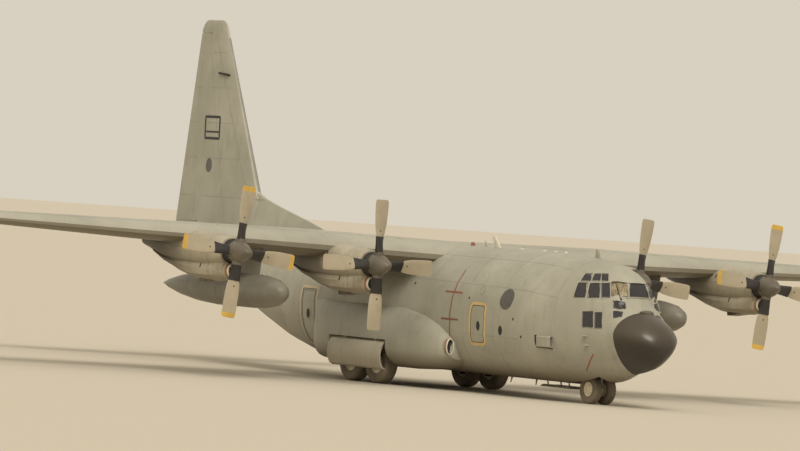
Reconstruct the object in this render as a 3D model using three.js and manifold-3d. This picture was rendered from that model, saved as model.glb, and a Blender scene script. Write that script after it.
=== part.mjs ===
// A four-engined turboprop military transport aircraft, parked on its landing gear with its doors shut.
// It is drawn here at full size in millimetres, and the exported group shows it as a half-size scale model.
// X points to the nose, Y to the left wing tip and Z up. X = 0 is the middle of the main landing gear.
import * as THREE from "three";
import { mergeVertices } from "three/addons/utils/BufferGeometryUtils.js";
import Module from "manifold-3d";

const wasm = await Module();
wasm.setup();

// Driving dimensions of the full-size aircraft.
const MODEL_SCALE = 0.5;
const LENGTH = 29790;
const SPAN = 40410;
const NOSE_TIP_X = 13150;
const TAIL_TIP_X = NOSE_TIP_X - LENGTH;
const SEAM = 0.6; // between two fixed panels that meet
const RUNNING_GAP = 17; // round a piece that moves
const DOOR_GAP = 14; // round a hinged door

// Landing gear.
const MAIN_TYRE_RADIUS = 650;
const MAIN_TYRE_WIDTH = 500;
const MAIN_WHEEL_Y = 2175;
const MAIN_WHEEL_X = 762; // fore and aft of the gear's middle
const NOSE_GEAR_X = 9770;
const NOSE_TYRE_RADIUS = 455;
const NOSE_TYRE_WIDTH = 300;
const NOSE_WHEEL_Y = 265;

// Propellers.
const PROPELLER_X = 4480;
const PROPELLER_RADIUS = 2057;
const INNER_ENGINE = { y: 5030, z: 3820 };
const OUTER_ENGINE = { y: 10210, z: 3940 };

const paint = (color, roughness, metalness = 0) =>
  new THREE.MeshStandardMaterial({ color, roughness, metalness });
const LOOKS = {
  grey: paint(0xa39d88, 0.55),
  darkGrey: paint(0x7f7a68, 0.6),
  radome: paint(0x3d3a31, 0.45),
  glass: new THREE.MeshStandardMaterial({ color: 0x2b2d33, roughness: 0.08, transparent: true, opacity: 0.55 }),
  floor: paint(0x6f6b60, 0.7),
  seat: paint(0x4b4a3e, 0.9),
  blade: paint(0xa0968a, 0.5),
  tyre: paint(0x26241f, 0.9),
  steel: paint(0xb9b6ac, 0.35, 0.6),
};

const aircraft = new THREE.Group();

// Turns a closed geometry into a solid whose faces point out.
function solidOf(geometry) {
  const bare = geometry.clone();
  for (const name of Object.keys(bare.attributes)) if (name !== "position") bare.deleteAttribute(name);
  const merged = mergeVertices(bare, 1e-3);
  const corners = Array.from(merged.index.array);
  const kept = [];
  for (let i = 0; i < corners.length; i += 3) {
    const [a, b, c] = corners.slice(i, i + 3);
    if (a !== b && b !== c && c !== a) kept.push(a, b, c);
  }
  const vertProperties = new Float32Array(merged.attributes.position.array);
  const build = (list) =>
    new wasm.Manifold(new wasm.Mesh({ numProp: 3, vertProperties, triVerts: new Uint32Array(list) }));
  const solid = build(kept);
  return solid.volume() > 0 ? solid : build(kept.reverse());
}

const union = (solids) => solids.reduce((all, one) => all.add(one));
const cut = (solid, cutters) => cutters.reduce((left, cutter) => left.subtract(cutter), solid);

// Adds a solid to the aircraft as a named mesh.
function addPart(name, solid, look) {
  const { numVert, numProp, vertProperties, triVerts } = solid.getMesh();
  const positions = new Float32Array(numVert * 3);
  for (let i = 0; i < numVert; i++) positions.set(vertProperties.subarray(i * numProp, i * numProp + 3), i * 3);
  const geometry = new THREE.BufferGeometry();
  geometry.setAttribute("position", new THREE.BufferAttribute(positions, 3));
  geometry.setIndex(new THREE.BufferAttribute(triVerts, 1));
  geometry.computeVertexNormals();
  const mesh = new THREE.Mesh(geometry, look);
  mesh.name = name;
  aircraft.add(mesh);
}

// A block between two corners.
function block([x0, y0, z0], [x1, y1, z1]) {
  const box = new THREE.BoxGeometry(Math.abs(x1 - x0), Math.abs(y1 - y0), Math.abs(z1 - z0));
  return solidOf(box.translate((x0 + x1) / 2, (y0 + y1) / 2, (z0 + z1) / 2));
}

// A round bar between two points, with a radius at each end.
function bar(from, to, radius, endRadius = radius, sides = 12) {
  const a = new THREE.Vector3(...from);
  const b = new THREE.Vector3(...to);
  const rod = new THREE.CylinderGeometry(endRadius, radius, a.distanceTo(b), sides);
  const along = b.clone().sub(a).normalize();
  const turn = new THREE.Quaternion().setFromUnitVectors(new THREE.Vector3(0, 1, 0), along);
  const middle = a.add(b).multiplyScalar(0.5);
  return solidOf(rod.applyQuaternion(turn).translate(middle.x, middle.y, middle.z));
}

// A closed skin through rings of points that all have the same count, capped at both ends.
// flat(point) gives the two coordinates in which an end cap is triangulated.
function loft(rings, flat = (p) => new THREE.Vector2(p.y, p.z)) {
  const count = rings[0].length;
  const positions = rings.flat().flatMap((p) => [p.x, p.y, p.z]);
  const index = [];
  for (let r = 0; r < rings.length - 1; r++)
    for (let i = 0; i < count; i++) {
      const a = r * count + i;
      const b = r * count + ((i + 1) % count);
      index.push(a, b, b + count, a, b + count, a + count);
    }
  for (const [r, turned] of [[0, true], [rings.length - 1, false]]) {
    const outline = rings[r].map(flat);
    const clockwise = THREE.ShapeUtils.isClockWise(rings[0].map(flat));
    const side = THREE.ShapeUtils.isClockWise(outline) === clockwise ? turned : !turned;
    for (const [a, b, c] of THREE.ShapeUtils.triangulateShape(outline, [])) {
      const face = [a, b, c].map((k) => r * count + k);
      const flip = isTurned(outline, a, b, c) !== isRingTurned(outline);
      const forward = flip ? [face[0], face[2], face[1]] : face;
      index.push(...(side ? [forward[0], forward[2], forward[1]] : forward));
    }
  }
  const geometry = new THREE.BufferGeometry();
  geometry.setAttribute("position", new THREE.Float32BufferAttribute(positions, 3));
  geometry.setIndex(index);
  return solidOf(geometry);
}
const isRingTurned = (outline) => THREE.ShapeUtils.area(outline) < 0;
const isTurned = (outline, a, b, c) => THREE.ShapeUtils.area([outline[a], outline[b], outline[c]]) < 0;

// A power of a cosine or sine that keeps its sign, for rounded-square outlines.
const rounded = (value, exponent) => Math.sign(value) * Math.abs(value) ** (2 / exponent);

// One oval ring of the body at a station x. wide is the height of the widest point, and crown and belly say
// how square the parts above and below it are: 2 is an ellipse.
function bodyRing({ x, half, bottom, top, wide, crown, belly, lean = 0, facing = 0 }, inset = 0, sides = 28) {
  const middle = x - facing * inset;
  return Array.from({ length: sides }, (_, i) => {
    const angle = (2 * Math.PI * i) / sides;
    const exponent = Math.sin(angle) < 0 ? belly : crown;
    const reach = Math.sin(angle) < 0 ? wide - bottom - inset : top - wide - inset;
    const y = (half - inset) * rounded(Math.cos(angle), exponent);
    const z = wide + reach * rounded(Math.sin(angle), exponent);
    return new THREE.Vector3(middle + (lean * (z - bottom)) / (top - bottom), y, z);
  });
}

// The body's stations.
// lean is how far a ring's top leans forward of its bottom, and facing the share of the wall measured along X.
const BODY_COLUMNS = ["x", "half", "bottom", "top", "wide", "crown", "belly", "lean", "facing"];
const BODY = [
  [11700, 1080, 1030, 2970, 2270, 1.9, 1.5, 290, 1],
  [11560, 1070, 980, 3400, 2260, 1.9, 1.6, 80, 1],
  [11440, 1100, 940, 3890, 2255, 1.9, 1.65, 60, 1],
  [11000, 1270, 805, 4190, 2250, 2, 1.8, 0, 0.5],
  [10500, 1530, 697, 4350, 2250, 2.05, 2, 0, 0],
  [9750, 1815, 612, 4490, 2305, 2.05, 2.3, 0, 0],
  [8900, 1995, 575, 4590, 2390, 2.05, 2.5, 0, 0],
  [8220, 2090, 570, 4625, 2440, 2, 2.6, 0, 0],
  [6800, 2160, 570, 4630, 2470, 2, 2.8, 0, 0],
  [-3000, 2160, 570, 4630, 2470, 2, 2.7, 0, 0],
  [-4420, 2150, 575, 4630, 2480, 2, 2.4, 0, 0],
  [-6100, 2080, 980, 4630, 2600, 2, 2.4, 0, 0],
  [-7800, 1930, 1560, 4630, 2800, 2, 2.3, 0, 0],
  [-9500, 1690, 2180, 4630, 3120, 2, 2.3, 0, 0],
  [-11000, 1400, 2740, 4630, 3500, 2, 2.5, 0, 0],
  [-12500, 1080, 3310, 4630, 3850, 2, 2.6, 0, 0],
  [-14000, 780, 3680, 4630, 4120, 2, 2.3, 0, 0],
  [-15500, 480, 3990, 4610, 4300, 2, 2.0, 0, 0],
  [-16300, 290, 4170, 4570, 4370, 2, 2.0, 0, 0],
  [TAIL_TIP_X, 90, 4320, 4450, 4390, 2, 2.0, 0, 0],
].map((row) => Object.fromEntries(row.map((value, i) => [BODY_COLUMNS[i], value])));

// The body's measures at any x, straight between its stations.
function bodyAt(x) {
  const after = BODY.findIndex((row) => row.x <= x);
  const [a, b] = after < 1 ? [BODY[0], BODY[1]] : [BODY[after - 1], BODY[after]];
  const share = (a.x - x) / (a.x - b.x);
  const row = Object.fromEntries(BODY_COLUMNS.map((key) => [key, a[key] + (b[key] - a[key]) * share]));
  return { ...row, x };
}

// The solid body between two stations, taken in by inset all round.
function bodySolid(xFront, xBack, inset = 0) {
  const inside = BODY.filter((row) => row.x < xFront - 1 && row.x > xBack + 1);
  return loft([bodyAt(xFront), ...inside, bodyAt(xBack)].map((row) => bodyRing(row, inset)));
}

// Places where the body's sections join.
const RADOME_BACK_X = 11700;
const CABIN_BACK_X = 8220;
const RAMP_HINGE_X = -4420;
const RAMP_END_X = -7800;
const CARGO_DOOR_END_X = -12000;
const WALL = 110;
const CABIN_WALL = 80;
const FLOOR_TOP = 1040;
const DECK_TOP = 2030;

// Wing, tailplane and fin share one way of describing an aerofoil surface. span runs along the surface, back
// is measured behind its leading edge, and place() puts a point of a section in the aircraft.
const THICKNESS_TERMS = [0.2969, -0.126, -0.3516, 0.2843, -0.1036];
const CHORD_STEPS = [1, 0.88, 0.76, 0.62, 0.48, 0.34, 0.22, 0.12, 0.05, 0.015, 0];

function sectionAt(surface, span, back) {
  const chord = surface.chord(span);
  const share = THREE.MathUtils.clamp(back / chord, 0, 1);
  const powers = [Math.sqrt(share), share, share ** 2, share ** 3, share ** 4];
  const shape = powers.reduce((sum, p, i) => sum + p * THICKNESS_TERMS[i], 0);
  const half = 5 * surface.thickness(span) * chord * shape;
  const camber = surface.camber * chord * 4 * share * (1 - share);
  const tilt = surface.tilt * (0.3 - share) * chord;
  return { middle: camber + tilt, half: Math.max(half, 5) };
}

function surfaceRing(surface, span, grow = 0) {
  const chord = surface.chord(span);
  const point = (share, side) => {
    const { middle, half } = sectionAt(surface, span, share * chord);
    const back = share * (chord + 2 * grow) - grow;
    return surface.place(span, back, middle + side * (half + grow));
  };
  const upper = CHORD_STEPS.map((share) => point(share, 1));
  const lower = CHORD_STEPS.slice(0, -1).reverse().map((share) => point(share, -1));
  return [...upper, ...lower];
}

function surfaceSolid(surface, spans, grow = 0) {
  return loft(spans.map((span) => surfaceRing(surface, span, grow)), surface.flat);
}

// The moving rear part of a surface, from the share of chord where it hinges, with a round nose.
const NOSE_STEPS = [1, 2, 3, 4, 5, 6, 7];
const FLAP_STEPS = [0, 0.4, 0.75, 1];

function hingeLine(surface, share, span) {
  const back = surface.chord(span) * share;
  return { back, ...sectionAt(surface, span, back) };
}

function movingRing(surface, share, span) {
  const chord = surface.chord(span);
  const { back, middle, half } = hingeLine(surface, share, span);
  const skin = (step, side) => {
    const at = back + (chord - back) * step;
    const section = sectionAt(surface, span, at);
    return surface.place(span, at, section.middle + side * section.half);
  };
  const nose = NOSE_STEPS.map((step) => {
    const angle = (Math.PI * step) / (NOSE_STEPS.length + 1) - Math.PI / 2;
    return surface.place(span, back - half * Math.cos(angle), middle + half * Math.sin(angle));
  });
  return [...FLAP_STEPS.map((s) => skin(s, 1)), ...FLAP_STEPS.toReversed().map((s) => skin(s, -1)), ...nose];
}

// Hinge pins that stand out of both ends of a moving part, on the middle of its round nose.
const PIN = { radius: 30, depth: 38, clearance: 1.5 };

function hingePins(surface, shares, ends, gap, bore) {
  const centre = (span, share) => {
    const { back, middle } = hingeLine(surface, share, span);
    return surface.place(span, back, middle);
  };
  const [first, last] = ends.map((span, i) => centre(span, shares[i]));
  const along = last.clone().sub(first).normalize();
  const radius = PIN.radius + (bore ? PIN.clearance : 0);
  return [[first, -1], [last, 1]].map(([end, way]) => {
    const from = end.clone().addScaledVector(along, -way * 40);
    const to = end.clone().addScaledVector(along, way * (gap + PIN.depth + (bore ? 3 : 0)));
    return bar(from.toArray(), to.toArray(), radius, radius, bore ? 16 : 10);
  });
}

// The empty torsion box inside a tail surface, between two shares of chord at each end.
const BOX_STEPS = [0, 0.2, 0.5, 1];

function boxRing(surface, span, [front, back], wall) {
  const chord = surface.chord(span);
  const point = (step, side) => {
    const at = chord * THREE.MathUtils.lerp(front, back, step);
    const { middle, half } = sectionAt(surface, span, at);
    return surface.place(span, at, middle + side * (half - wall));
  };
  return [...BOX_STEPS.map((s) => point(s, 1)), ...BOX_STEPS.toReversed().map((s) => point(s, -1))];
}

function movingSolid(surface, share, from, to) {
  return loft([movingRing(surface, share, from), movingRing(surface, share, to)], surface.flat);
}

// What is cut from the fixed part to make room for the moving one.
function roomRing(surface, share, span) {
  const { back, middle, half } = hingeLine(surface, share, span);
  const radius = half + RUNNING_GAP;
  const tall = 600;
  const far = surface.chord(span) + 600;
  const nose = NOSE_STEPS.map((step) => {
    const angle = (Math.PI * step) / (NOSE_STEPS.length + 1) - Math.PI / 2;
    return surface.place(span, back - radius * Math.cos(angle), middle + radius * Math.sin(angle));
  });
  return [
    surface.place(span, back, middle + radius),
    surface.place(span, back + 1, middle + tall),
    surface.place(span, far, middle + tall),
    surface.place(span, far, middle - tall),
    surface.place(span, back + 1, middle - tall),
    surface.place(span, back, middle - radius),
    ...nose,
  ];
}

function movingRoom(surface, share, from, to) {
  return loft([roomRing(surface, share, from), roomRing(surface, share, to)], surface.flat);
}

// Radome, solid back to its mounting ring. Each row is a distance behind the tip with the share of the mounting
// ring's width, height above its widest point and depth below it.
const RADOME_TIP_Z = 1780;
const RADOME = [
  [0, 0.1, 0.1, 0.1],
  [50, 0.31, 0.28, 0.3],
  [180, 0.5, 0.46, 0.49],
  [450, 0.71, 0.67, 0.71],
  [900, 0.9, 0.88, 0.89],
];

function radome() {
  const base = bodyAt(RADOME_BACK_X + SEAM);
  const up = base.top - base.wide;
  const down = base.wide - base.bottom;
  const rings = RADOME.map(([back, width, rise, drop]) => {
    const wide = THREE.MathUtils.lerp(RADOME_TIP_Z, base.wide, width);
    const x = NOSE_TIP_X - back;
    const lean = base.lean * width * 0.8;
    const reach = { half: base.half * width, top: wide + up * rise, bottom: wide - down * drop };
    return bodyRing({ ...base, ...reach, x: x - lean / 2, wide, lean });
  });
  addPart("radome", loft([...rings, bodyRing(base)]), LOOKS.radome);
}

// Cockpit windows, as four corners on the body's left skin in millimetres: front top, rear top, rear bottom and
// front bottom. The centre pane spans both sides, and the rest are mirrored to the right.
const CENTRE_PANE = [[11480, -290, 3860], [11480, 290, 3860], [11620, 350, 3450], [11620, -350, 3450]];
const WINDOWS = [
  [[11420, 350, 3850], [11050, 660, 3840], [11330, 830, 3420], [11610, 430, 3430]],
  [[11010, 715, 3810], [10810, 870, 3790], [11050, 1000, 3350], [11290, 885, 3370]],
  [[10740, 905, 3790], [10430, 1105, 3760], [10660, 1225, 3310], [10990, 1035, 3340]],
  [[10360, 1140, 3760], [9990, 1315, 3730], [10240, 1440, 3280], [10590, 1260, 3310]],
  [[10740, 600, 4080], [10590, 730, 4070], [10760, 850, 3870], [10930, 730, 3880]],
  [[10540, 750, 4070], [10300, 890, 4050], [10500, 1010, 3850], [10710, 870, 3860]],
  [[10250, 910, 4040], [9970, 1050, 4020], [10160, 1170, 3830], [10440, 1040, 3840]],
  [[11760, 760, 3290], [11460, 860, 3280], [11550, 905, 3070], [11820, 770, 3090]],
  [[11830, 775, 2980], [11590, 915, 2960], [11690, 975, 2780], [11860, 800, 2800]],
  [[11230, 1090, 2880], [11020, 1185, 2860], [11110, 1220, 2400], [11330, 1130, 2410]],
  [[10930, 1230, 2890], [10640, 1395, 2860], [10710, 1410, 2400], [11020, 1250, 2420]],
];
const WINDOW_GAP = 3;
const WINDOW_REACH = 330;

// A prism through four corners, square to them and taken in by gap all round.
function windowPrism(corners, side, gap) {
  const points = corners.map(([x, y, z]) => new THREE.Vector3(x, side * y, z));
  const centre = points.reduce((sum, p) => sum.add(p), new THREE.Vector3()).divideScalar(4);
  const across = points[1].clone().sub(points[3]);
  const normal = points[0].clone().sub(points[2]).cross(across).normalize();
  const along = points[1].clone().sub(points[0]).normalize();
  const upward = normal.clone().cross(along);
  const ring = (depth) =>
    points.map((p) => {
      const arm = p.clone().sub(centre);
      const flat = arm.addScaledVector(normal, -arm.dot(normal));
      return flat.setLength(flat.length() - gap * Math.SQRT2).add(centre).addScaledVector(normal, depth);
    });
  const reach = WINDOW_REACH - 2 * gap;
  return loft([ring(-reach), ring(reach)], (p) => new THREE.Vector2(p.dot(along), p.dot(upward)));
}

function windowPrisms(gap) {
  const both = [1, -1].flatMap((side) => WINDOWS.map((corners) => windowPrism(corners, side, gap)));
  return [windowPrism(CENTRE_PANE, 1, gap), ...both];
}

// Crew entrance door, low on the left side, hinged along its bottom edge.
const CREW_DOOR = { front: 9240, back: 8480, bottom: 900, top: 1990 };
// Its hinge runs along X just outside the door's bottom edge, with a knuckle on the door and one on the body.
const CREW_HINGE = { y: 1440, z: 893, radius: 16, door: [8500, 8600], fixed: [8604, 8700] };
// Nose wheel well in the belly.
const NOSE_WELL = { front: 10650, back: 8950, half: 620, top: 1750 };
// Paratroop doors, one each side, ahead of the ramp.
const JUMP_DOOR = { front: -3420, back: -4320, bottom: 1060, top: 2890 };
// Main wheel wells, half in the body's side and half in the fairings.
const MAIN_WELL = { half: 1640, inner: 1690, top: 1640, sideTop: 1430 };

function doorPrism({ front, back, bottom, top }, side, gap = 0) {
  return block([front + gap, side * 1000, bottom - gap], [back - gap, side * 2600, top + gap]);
}

function mainWell(side) {
  const inner = block(
    [MAIN_WELL.half, side * MAIN_WELL.inner, 200],
    [-MAIN_WELL.half, side * 2480, MAIN_WELL.top],
  );
  const open = block([MAIN_WELL.half, side * 2400, 200], [-MAIN_WELL.half, side * 3400, MAIN_WELL.sideTop]);
  return inner.add(open);
}

// Where the glass lies against the inside of the cabin wall.
const paneBand = (grow) =>
  block([RADOME_BACK_X + 300, -2300, 2340 - grow], [9850 - grow, 2300, 4180 + grow]);

function bodySections(wingRoom) {
  const cabin = bodySolid(RADOME_BACK_X, CABIN_BACK_X + SEAM);
  const cabinHollow = bodySolid(RADOME_BACK_X - 10, CABIN_BACK_X - 50, CABIN_WALL);
  const crewDoorRoom = doorPrism(CREW_DOOR, 1, DOOR_GAP);
  const noseWell = block(
    [NOSE_WELL.front, -NOSE_WELL.half, 300],
    [NOSE_WELL.back, NOSE_WELL.half, NOSE_WELL.top],
  );
  const shell = cut(cabin, [cabinHollow, crewDoorRoom, noseWell, ...windowPrisms(0)]);
  const door = cabin.intersect(doorPrism(CREW_DOOR, 1)).subtract(cabinHollow);
  const { y, z, radius } = CREW_HINGE;
  const knuckle = ([from, to], inner, low, high) =>
    bar([from, y, z], [to, y, z], radius).add(block([from, inner, low], [to, y, high]));
  addPart("forward_fuselage", shell.add(knuckle(CREW_HINGE.fixed, y - 100, z - 23, z)), LOOKS.grey);
  addPart("crew_door", door.add(knuckle(CREW_HINGE.door, y - 60, z, z + 22)), LOOKS.grey);

  const paneLayer = (outer, inner) =>
    bodySolid(RADOME_BACK_X - 10, 8900, outer).subtract(bodySolid(RADOME_BACK_X - 10, 8890, inner));
  const paneSkin = paneLayer(CABIN_WALL + 2 * SEAM, CABIN_WALL + 22).intersect(paneBand(0));
  const plugs = union(windowPrisms(WINDOW_GAP)).intersect(paneLayer(10, CABIN_WALL + 12));
  addPart("cockpit_glazing", paneSkin.add(plugs), LOOKS.glass);

  const hold = bodySolid(CABIN_BACK_X, RAMP_HINGE_X + SEAM);
  const wellHousing = (side) => block([2100, side * 1600, 200], [-2100, side * 2600, 1760]);
  const housings = [wellHousing(1), wellHousing(-1)];
  const holdHollow = cut(bodySolid(CABIN_BACK_X + 50, RAMP_HINGE_X - 50, WALL), housings);
  const jumpDoorRooms = [1, -1].map((side) => doorPrism(JUMP_DOOR, side, SEAM));
  addPart(
    "centre_fuselage",
    cut(hold, [holdHollow, mainWell(1), mainWell(-1), ...jumpDoorRooms, wingRoom]),
    LOOKS.grey,
  );
  for (const [side, name] of [[-1, "right"], [1, "left"]]) {
    const door = hold.intersect(doorPrism(JUMP_DOOR, side));
    addPart(`paratroop_door_${name}`, door.subtract(holdHollow), LOOKS.grey);
  }

  const floorRoom = cut(bodySolid(CABIN_BACK_X, RAMP_HINGE_X + 30, WALL + SEAM), housings);
  const floorPlate = block([CABIN_BACK_X - 20, -1590, 930], [RAMP_HINGE_X + 30, 1590, FLOOR_TOP]);
  addPart("cargo_floor", floorRoom.intersect(floorPlate), LOOKS.floor);

  const deckRoom = bodySolid(11300, CABIN_BACK_X, CABIN_WALL + SEAM);
  const deckPlate = block([11200, -2200, DECK_TOP - 90], [CABIN_BACK_X + 130, 2200, DECK_TOP]);
  const bulkhead = block([CABIN_BACK_X + 130, -2200, DECK_TOP - 90], [CABIN_BACK_X + 40, 2200, 4600]);
  const doorway = block([CABIN_BACK_X + 200, -330, DECK_TOP], [CABIN_BACK_X, 330, 3950]);
  const deck = deckPlate.add(bulkhead).subtract(doorway);
  addPart("flight_deck", deckRoom.intersect(deck).subtract(paneBand(SEAM)), LOOKS.floor);
}

// Ramp and cargo door close the rear of the hold. Both follow the belly's outer skin. The ramp's floor carries
// on from the hold's, and the door's front end laps over the ramp's sloping rear end, so each can open alone.
const RAMP_HALF = 1440;
const RAMP_REAR_FLOOR_Z = 1960;
const LAP_ANGLE = THREE.MathUtils.degToRad(35);
const CARGO_DOOR_THICK = 120;
const CARGO_DOOR_HALF = { front: 1410, back: 870 };
const TAIL_HOLLOW_END_X = -15200;
const RAMP_HINGE = { x: RAMP_HINGE_X - DOOR_GAP + 6.6, z: 590, radius: 6.9 };
const CARGO_DOOR_HINGE = { x: CARGO_DOOR_END_X - 7, z: 3345, radius: 12 };

// A solid that spans the body's width, from its outline as (x, z) pairs.
function sideProfile(outline, half) {
  const ring = (y) => outline.map(([x, z]) => new THREE.Vector3(x, y, z));
  return loft([ring(-half), ring(half)], (p) => new THREE.Vector2(p.x, p.z));
}

// A solid between two heights, from its outline as (x, y) pairs.
function planPrism(outline, low, high) {
  const ring = (z) => outline.map(([x, y]) => new THREE.Vector3(x, y, z));
  return loft([ring(low), ring(high)], (p) => new THREE.Vector2(p.x, p.y));
}

function rearBody(finRoom, tailRoom) {
  const tail = bodySolid(RAMP_HINGE_X - SEAM, TAIL_TIP_X);
  const hollow = bodySolid(RAMP_HINGE_X + 50, TAIL_HOLLOW_END_X, WALL);
  const lapStart = bodyAt(RAMP_END_X).bottom;
  const lapX = (z, shift) => RAMP_END_X + shift / Math.cos(LAP_ANGLE) + (z - lapStart) * Math.tan(LAP_ANGLE);
  const low = 200;
  const high = 3600;
  const front = RAMP_HINGE_X - DOOR_GAP;
  const rampSide = [
    [front, low], [front, FLOOR_TOP],
    [lapX(RAMP_REAR_FLOOR_Z, DOOR_GAP / 2), RAMP_REAR_FLOOR_Z], [lapX(low, DOOR_GAP / 2), low],
  ];
  const bead = bar([RAMP_HINGE.x, -540, RAMP_HINGE.z], [RAMP_HINGE.x, 540, RAMP_HINGE.z], RAMP_HINGE.radius);
  const rib = block([front - 20, -540, RAMP_HINGE.z - 4], [RAMP_HINGE.x, 540, RAMP_HINGE.z + 4]);
  addPart("cargo_ramp", union([tail.intersect(sideProfile(rampSide, RAMP_HALF)), bead, rib]), LOOKS.grey);

  const doorPlan = (gap) => {
    const { front: halfFront, back: halfBack } = CARGO_DOOR_HALF;
    const x = RAMP_END_X + 800;
    const halfHere = halfFront + ((halfFront - halfBack) * 800) / (RAMP_END_X - CARGO_DOOR_END_X);
    return planPrism([
      [x, -halfHere - gap], [x, halfHere + gap],
      [CARGO_DOOR_END_X - gap, halfBack + gap], [CARGO_DOOR_END_X - gap, -halfBack - gap],
    ], low, high);
  };
  const lapFront = [low, high].map((z) => [lapX(z, -DOOR_GAP / 2), z]);
  const lap = sideProfile([...lapFront, [TAIL_TIP_X, high], [TAIL_TIP_X, low]], 2300);
  const doorShell = tail.subtract(bodySolid(RAMP_HINGE_X + 50, TAIL_HOLLOW_END_X, CARGO_DOOR_THICK));
  const { x: pinX, z: pinZ, radius } = CARGO_DOOR_HINGE;
  const doorLugs = [1, -1].map((side) => union([
    bar([pinX, side * 380, pinZ], [pinX, side * 500, pinZ], radius),
    block([pinX - 8, side * 380, pinZ - 12], [pinX + 60, side * 440, pinZ + 12]),
    block([pinX + 20, side * 380, pinZ - 200], [pinX + 60, side * 440, pinZ + 12]),
  ]));
  addPart("aft_cargo_door", union([doorShell.intersect(doorPlan(0)).intersect(lap), ...doorLugs]), LOOKS.grey);
  const fixedLugs = [1, -1].map((side) => union([
    block([pinX - 20, side * 446, pinZ - 22], [pinX + 22, side * 500, pinZ + 22]),
    block([pinX - 90, side * 446, pinZ - 200], [pinX - 18, side * 500, pinZ + 22]),
  ]).subtract(bar([pinX, side * 440, pinZ], [pinX, side * 510, pinZ], radius + 1, radius + 1, 16)));

  const rampReach = RAMP_HALF + DOOR_GAP;
  const rampRoom = block([RAMP_HINGE_X + 50, -rampReach, low], [RAMP_END_X - 10, rampReach, 2100]);
  const doorRoom = doorPlan(DOOR_GAP).intersect(block([RAMP_END_X + 10, -2300, low], [TAIL_TIP_X, 2300, high]));
  const shell = cut(tail, [hollow, rampRoom, doorRoom, finRoom, tailRoom]);
  addPart("aft_fuselage", union([shell, ...fixedLugs]), LOOKS.grey);
}

// Wing. The centre section has one chord, and each outer panel tapers with its quarter-chord line square.
const WING = {
  rootChord: 4880, tipChord: 2480, leadingX: 2420, breakY: 5590, tipY: SPAN / 2 - 225,
  rootZ: 4200, rise: Math.tan(THREE.MathUtils.degToRad(0.8)), rootThickness: 0.18, tipThickness: 0.12,
};
const outward = (y) => THREE.MathUtils.clamp((Math.abs(y) - WING.breakY) / (WING.tipY - WING.breakY), 0, 1.02);
const wing = {
  chord: (y) => THREE.MathUtils.lerp(WING.rootChord, WING.tipChord, outward(y)),
  thickness: (y) => THREE.MathUtils.lerp(WING.rootThickness, WING.tipThickness, outward(y)),
  camber: 0.018,
  tilt: Math.tan(THREE.MathUtils.degToRad(1.6)),
  flat: (p) => new THREE.Vector2(p.x, p.z),
  place: (y, back, up) => {
    const leading = WING.leadingX - 0.25 * (WING.rootChord - wing.chord(y));
    return new THREE.Vector3(leading - back, y, WING.rootZ + Math.abs(y) * WING.rise + up);
  },
};
const FLAP_HINGE = 0.77;
const AILERON_HINGE = 0.76;
const INNER_FLAP_Y = [2320, 5490];
const OUTER_FLAP_Y = [5690, 12550];
const AILERON_Y = [12720, 19400];
const FLAP_END_GAP = 40;
// Rounded tip: how far each ring shrinks, and its distance beyond the panel's end.
const WING_TIP = [[0, 0], [0.55, 90], [0.86, 190], [1, 225]];

// A moving part with its pins, and the room and bores it needs in the fixed part.
function controlPiece(surface, share, ends, gap) {
  const outwards = Math.sign(ends[1]);
  const roomEnds = [ends[0] - outwards * gap, ends[1] + outwards * gap];
  const shares = [share, share];
  return {
    piece: union([movingSolid(surface, share, ...ends), ...hingePins(surface, shares, ends, gap, false)]),
    rooms: [movingRoom(surface, share, ...roomEnds), ...hingePins(surface, shares, ends, gap, true)],
  };
}

function wingPieces() {
  const centre = union([1, -1].map((side) => surfaceSolid(wing, [0, side * (WING.breakY - SEAM)])));
  const innerRooms = [];
  for (const [side, name] of [[-1, "right"], [1, "left"]]) {
    const control = (share, ends) => controlPiece(wing, share, ends.map((y) => side * y), FLAP_END_GAP);
    const innerFlap = control(FLAP_HINGE, INNER_FLAP_Y);
    const outerFlap = control(FLAP_HINGE, OUTER_FLAP_Y);
    const aileron = control(AILERON_HINGE, AILERON_Y);
    innerRooms.push(...innerFlap.rooms);
    const panel = surfaceSolid(wing, [WING.breakY + SEAM, WING.tipY].map((y) => side * y));
    const middle = wing.place(side * WING.tipY, 0.45 * WING.tipChord, 0);
    const tipRings = WING_TIP.map(([shrink, out]) =>
      surfaceRing(wing, side * WING.tipY).map((p) => new THREE.Vector3(
        THREE.MathUtils.lerp(p.x, middle.x, 0.3 * shrink),
        side * (WING.tipY + out),
        THREE.MathUtils.lerp(p.z, middle.z, 0.85 * shrink),
      )));
    const outer = panel.add(loft(tipRings, wing.flat));
    addPart(`wing_outer_${name}`, cut(outer, [...outerFlap.rooms, ...aileron.rooms]), LOOKS.grey);
    addPart(`flap_inner_${name}`, innerFlap.piece, LOOKS.grey);
    addPart(`flap_outer_${name}`, outerFlap.piece, LOOKS.grey);
    addPart(`aileron_${name}`, aileron.piece, LOOKS.grey);
  }
  addPart("wing_centre", cut(centre, innerRooms), LOOKS.grey);
}

// Engines in the order of their numbers, from the left wing tip to the right.
const ENGINES = [
  { name: "1", y: OUTER_ENGINE.y, z: OUTER_ENGINE.z, blade: -6.5 },
  { name: "2", y: INNER_ENGINE.y, z: INNER_ENGINE.z, blade: -6.5 },
  { name: "3", y: -INNER_ENGINE.y, z: INNER_ENGINE.z, blade: 0 },
  { name: "4", y: -OUTER_ENGINE.y, z: OUTER_ENGINE.z, blade: -6.5 },
];

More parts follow.
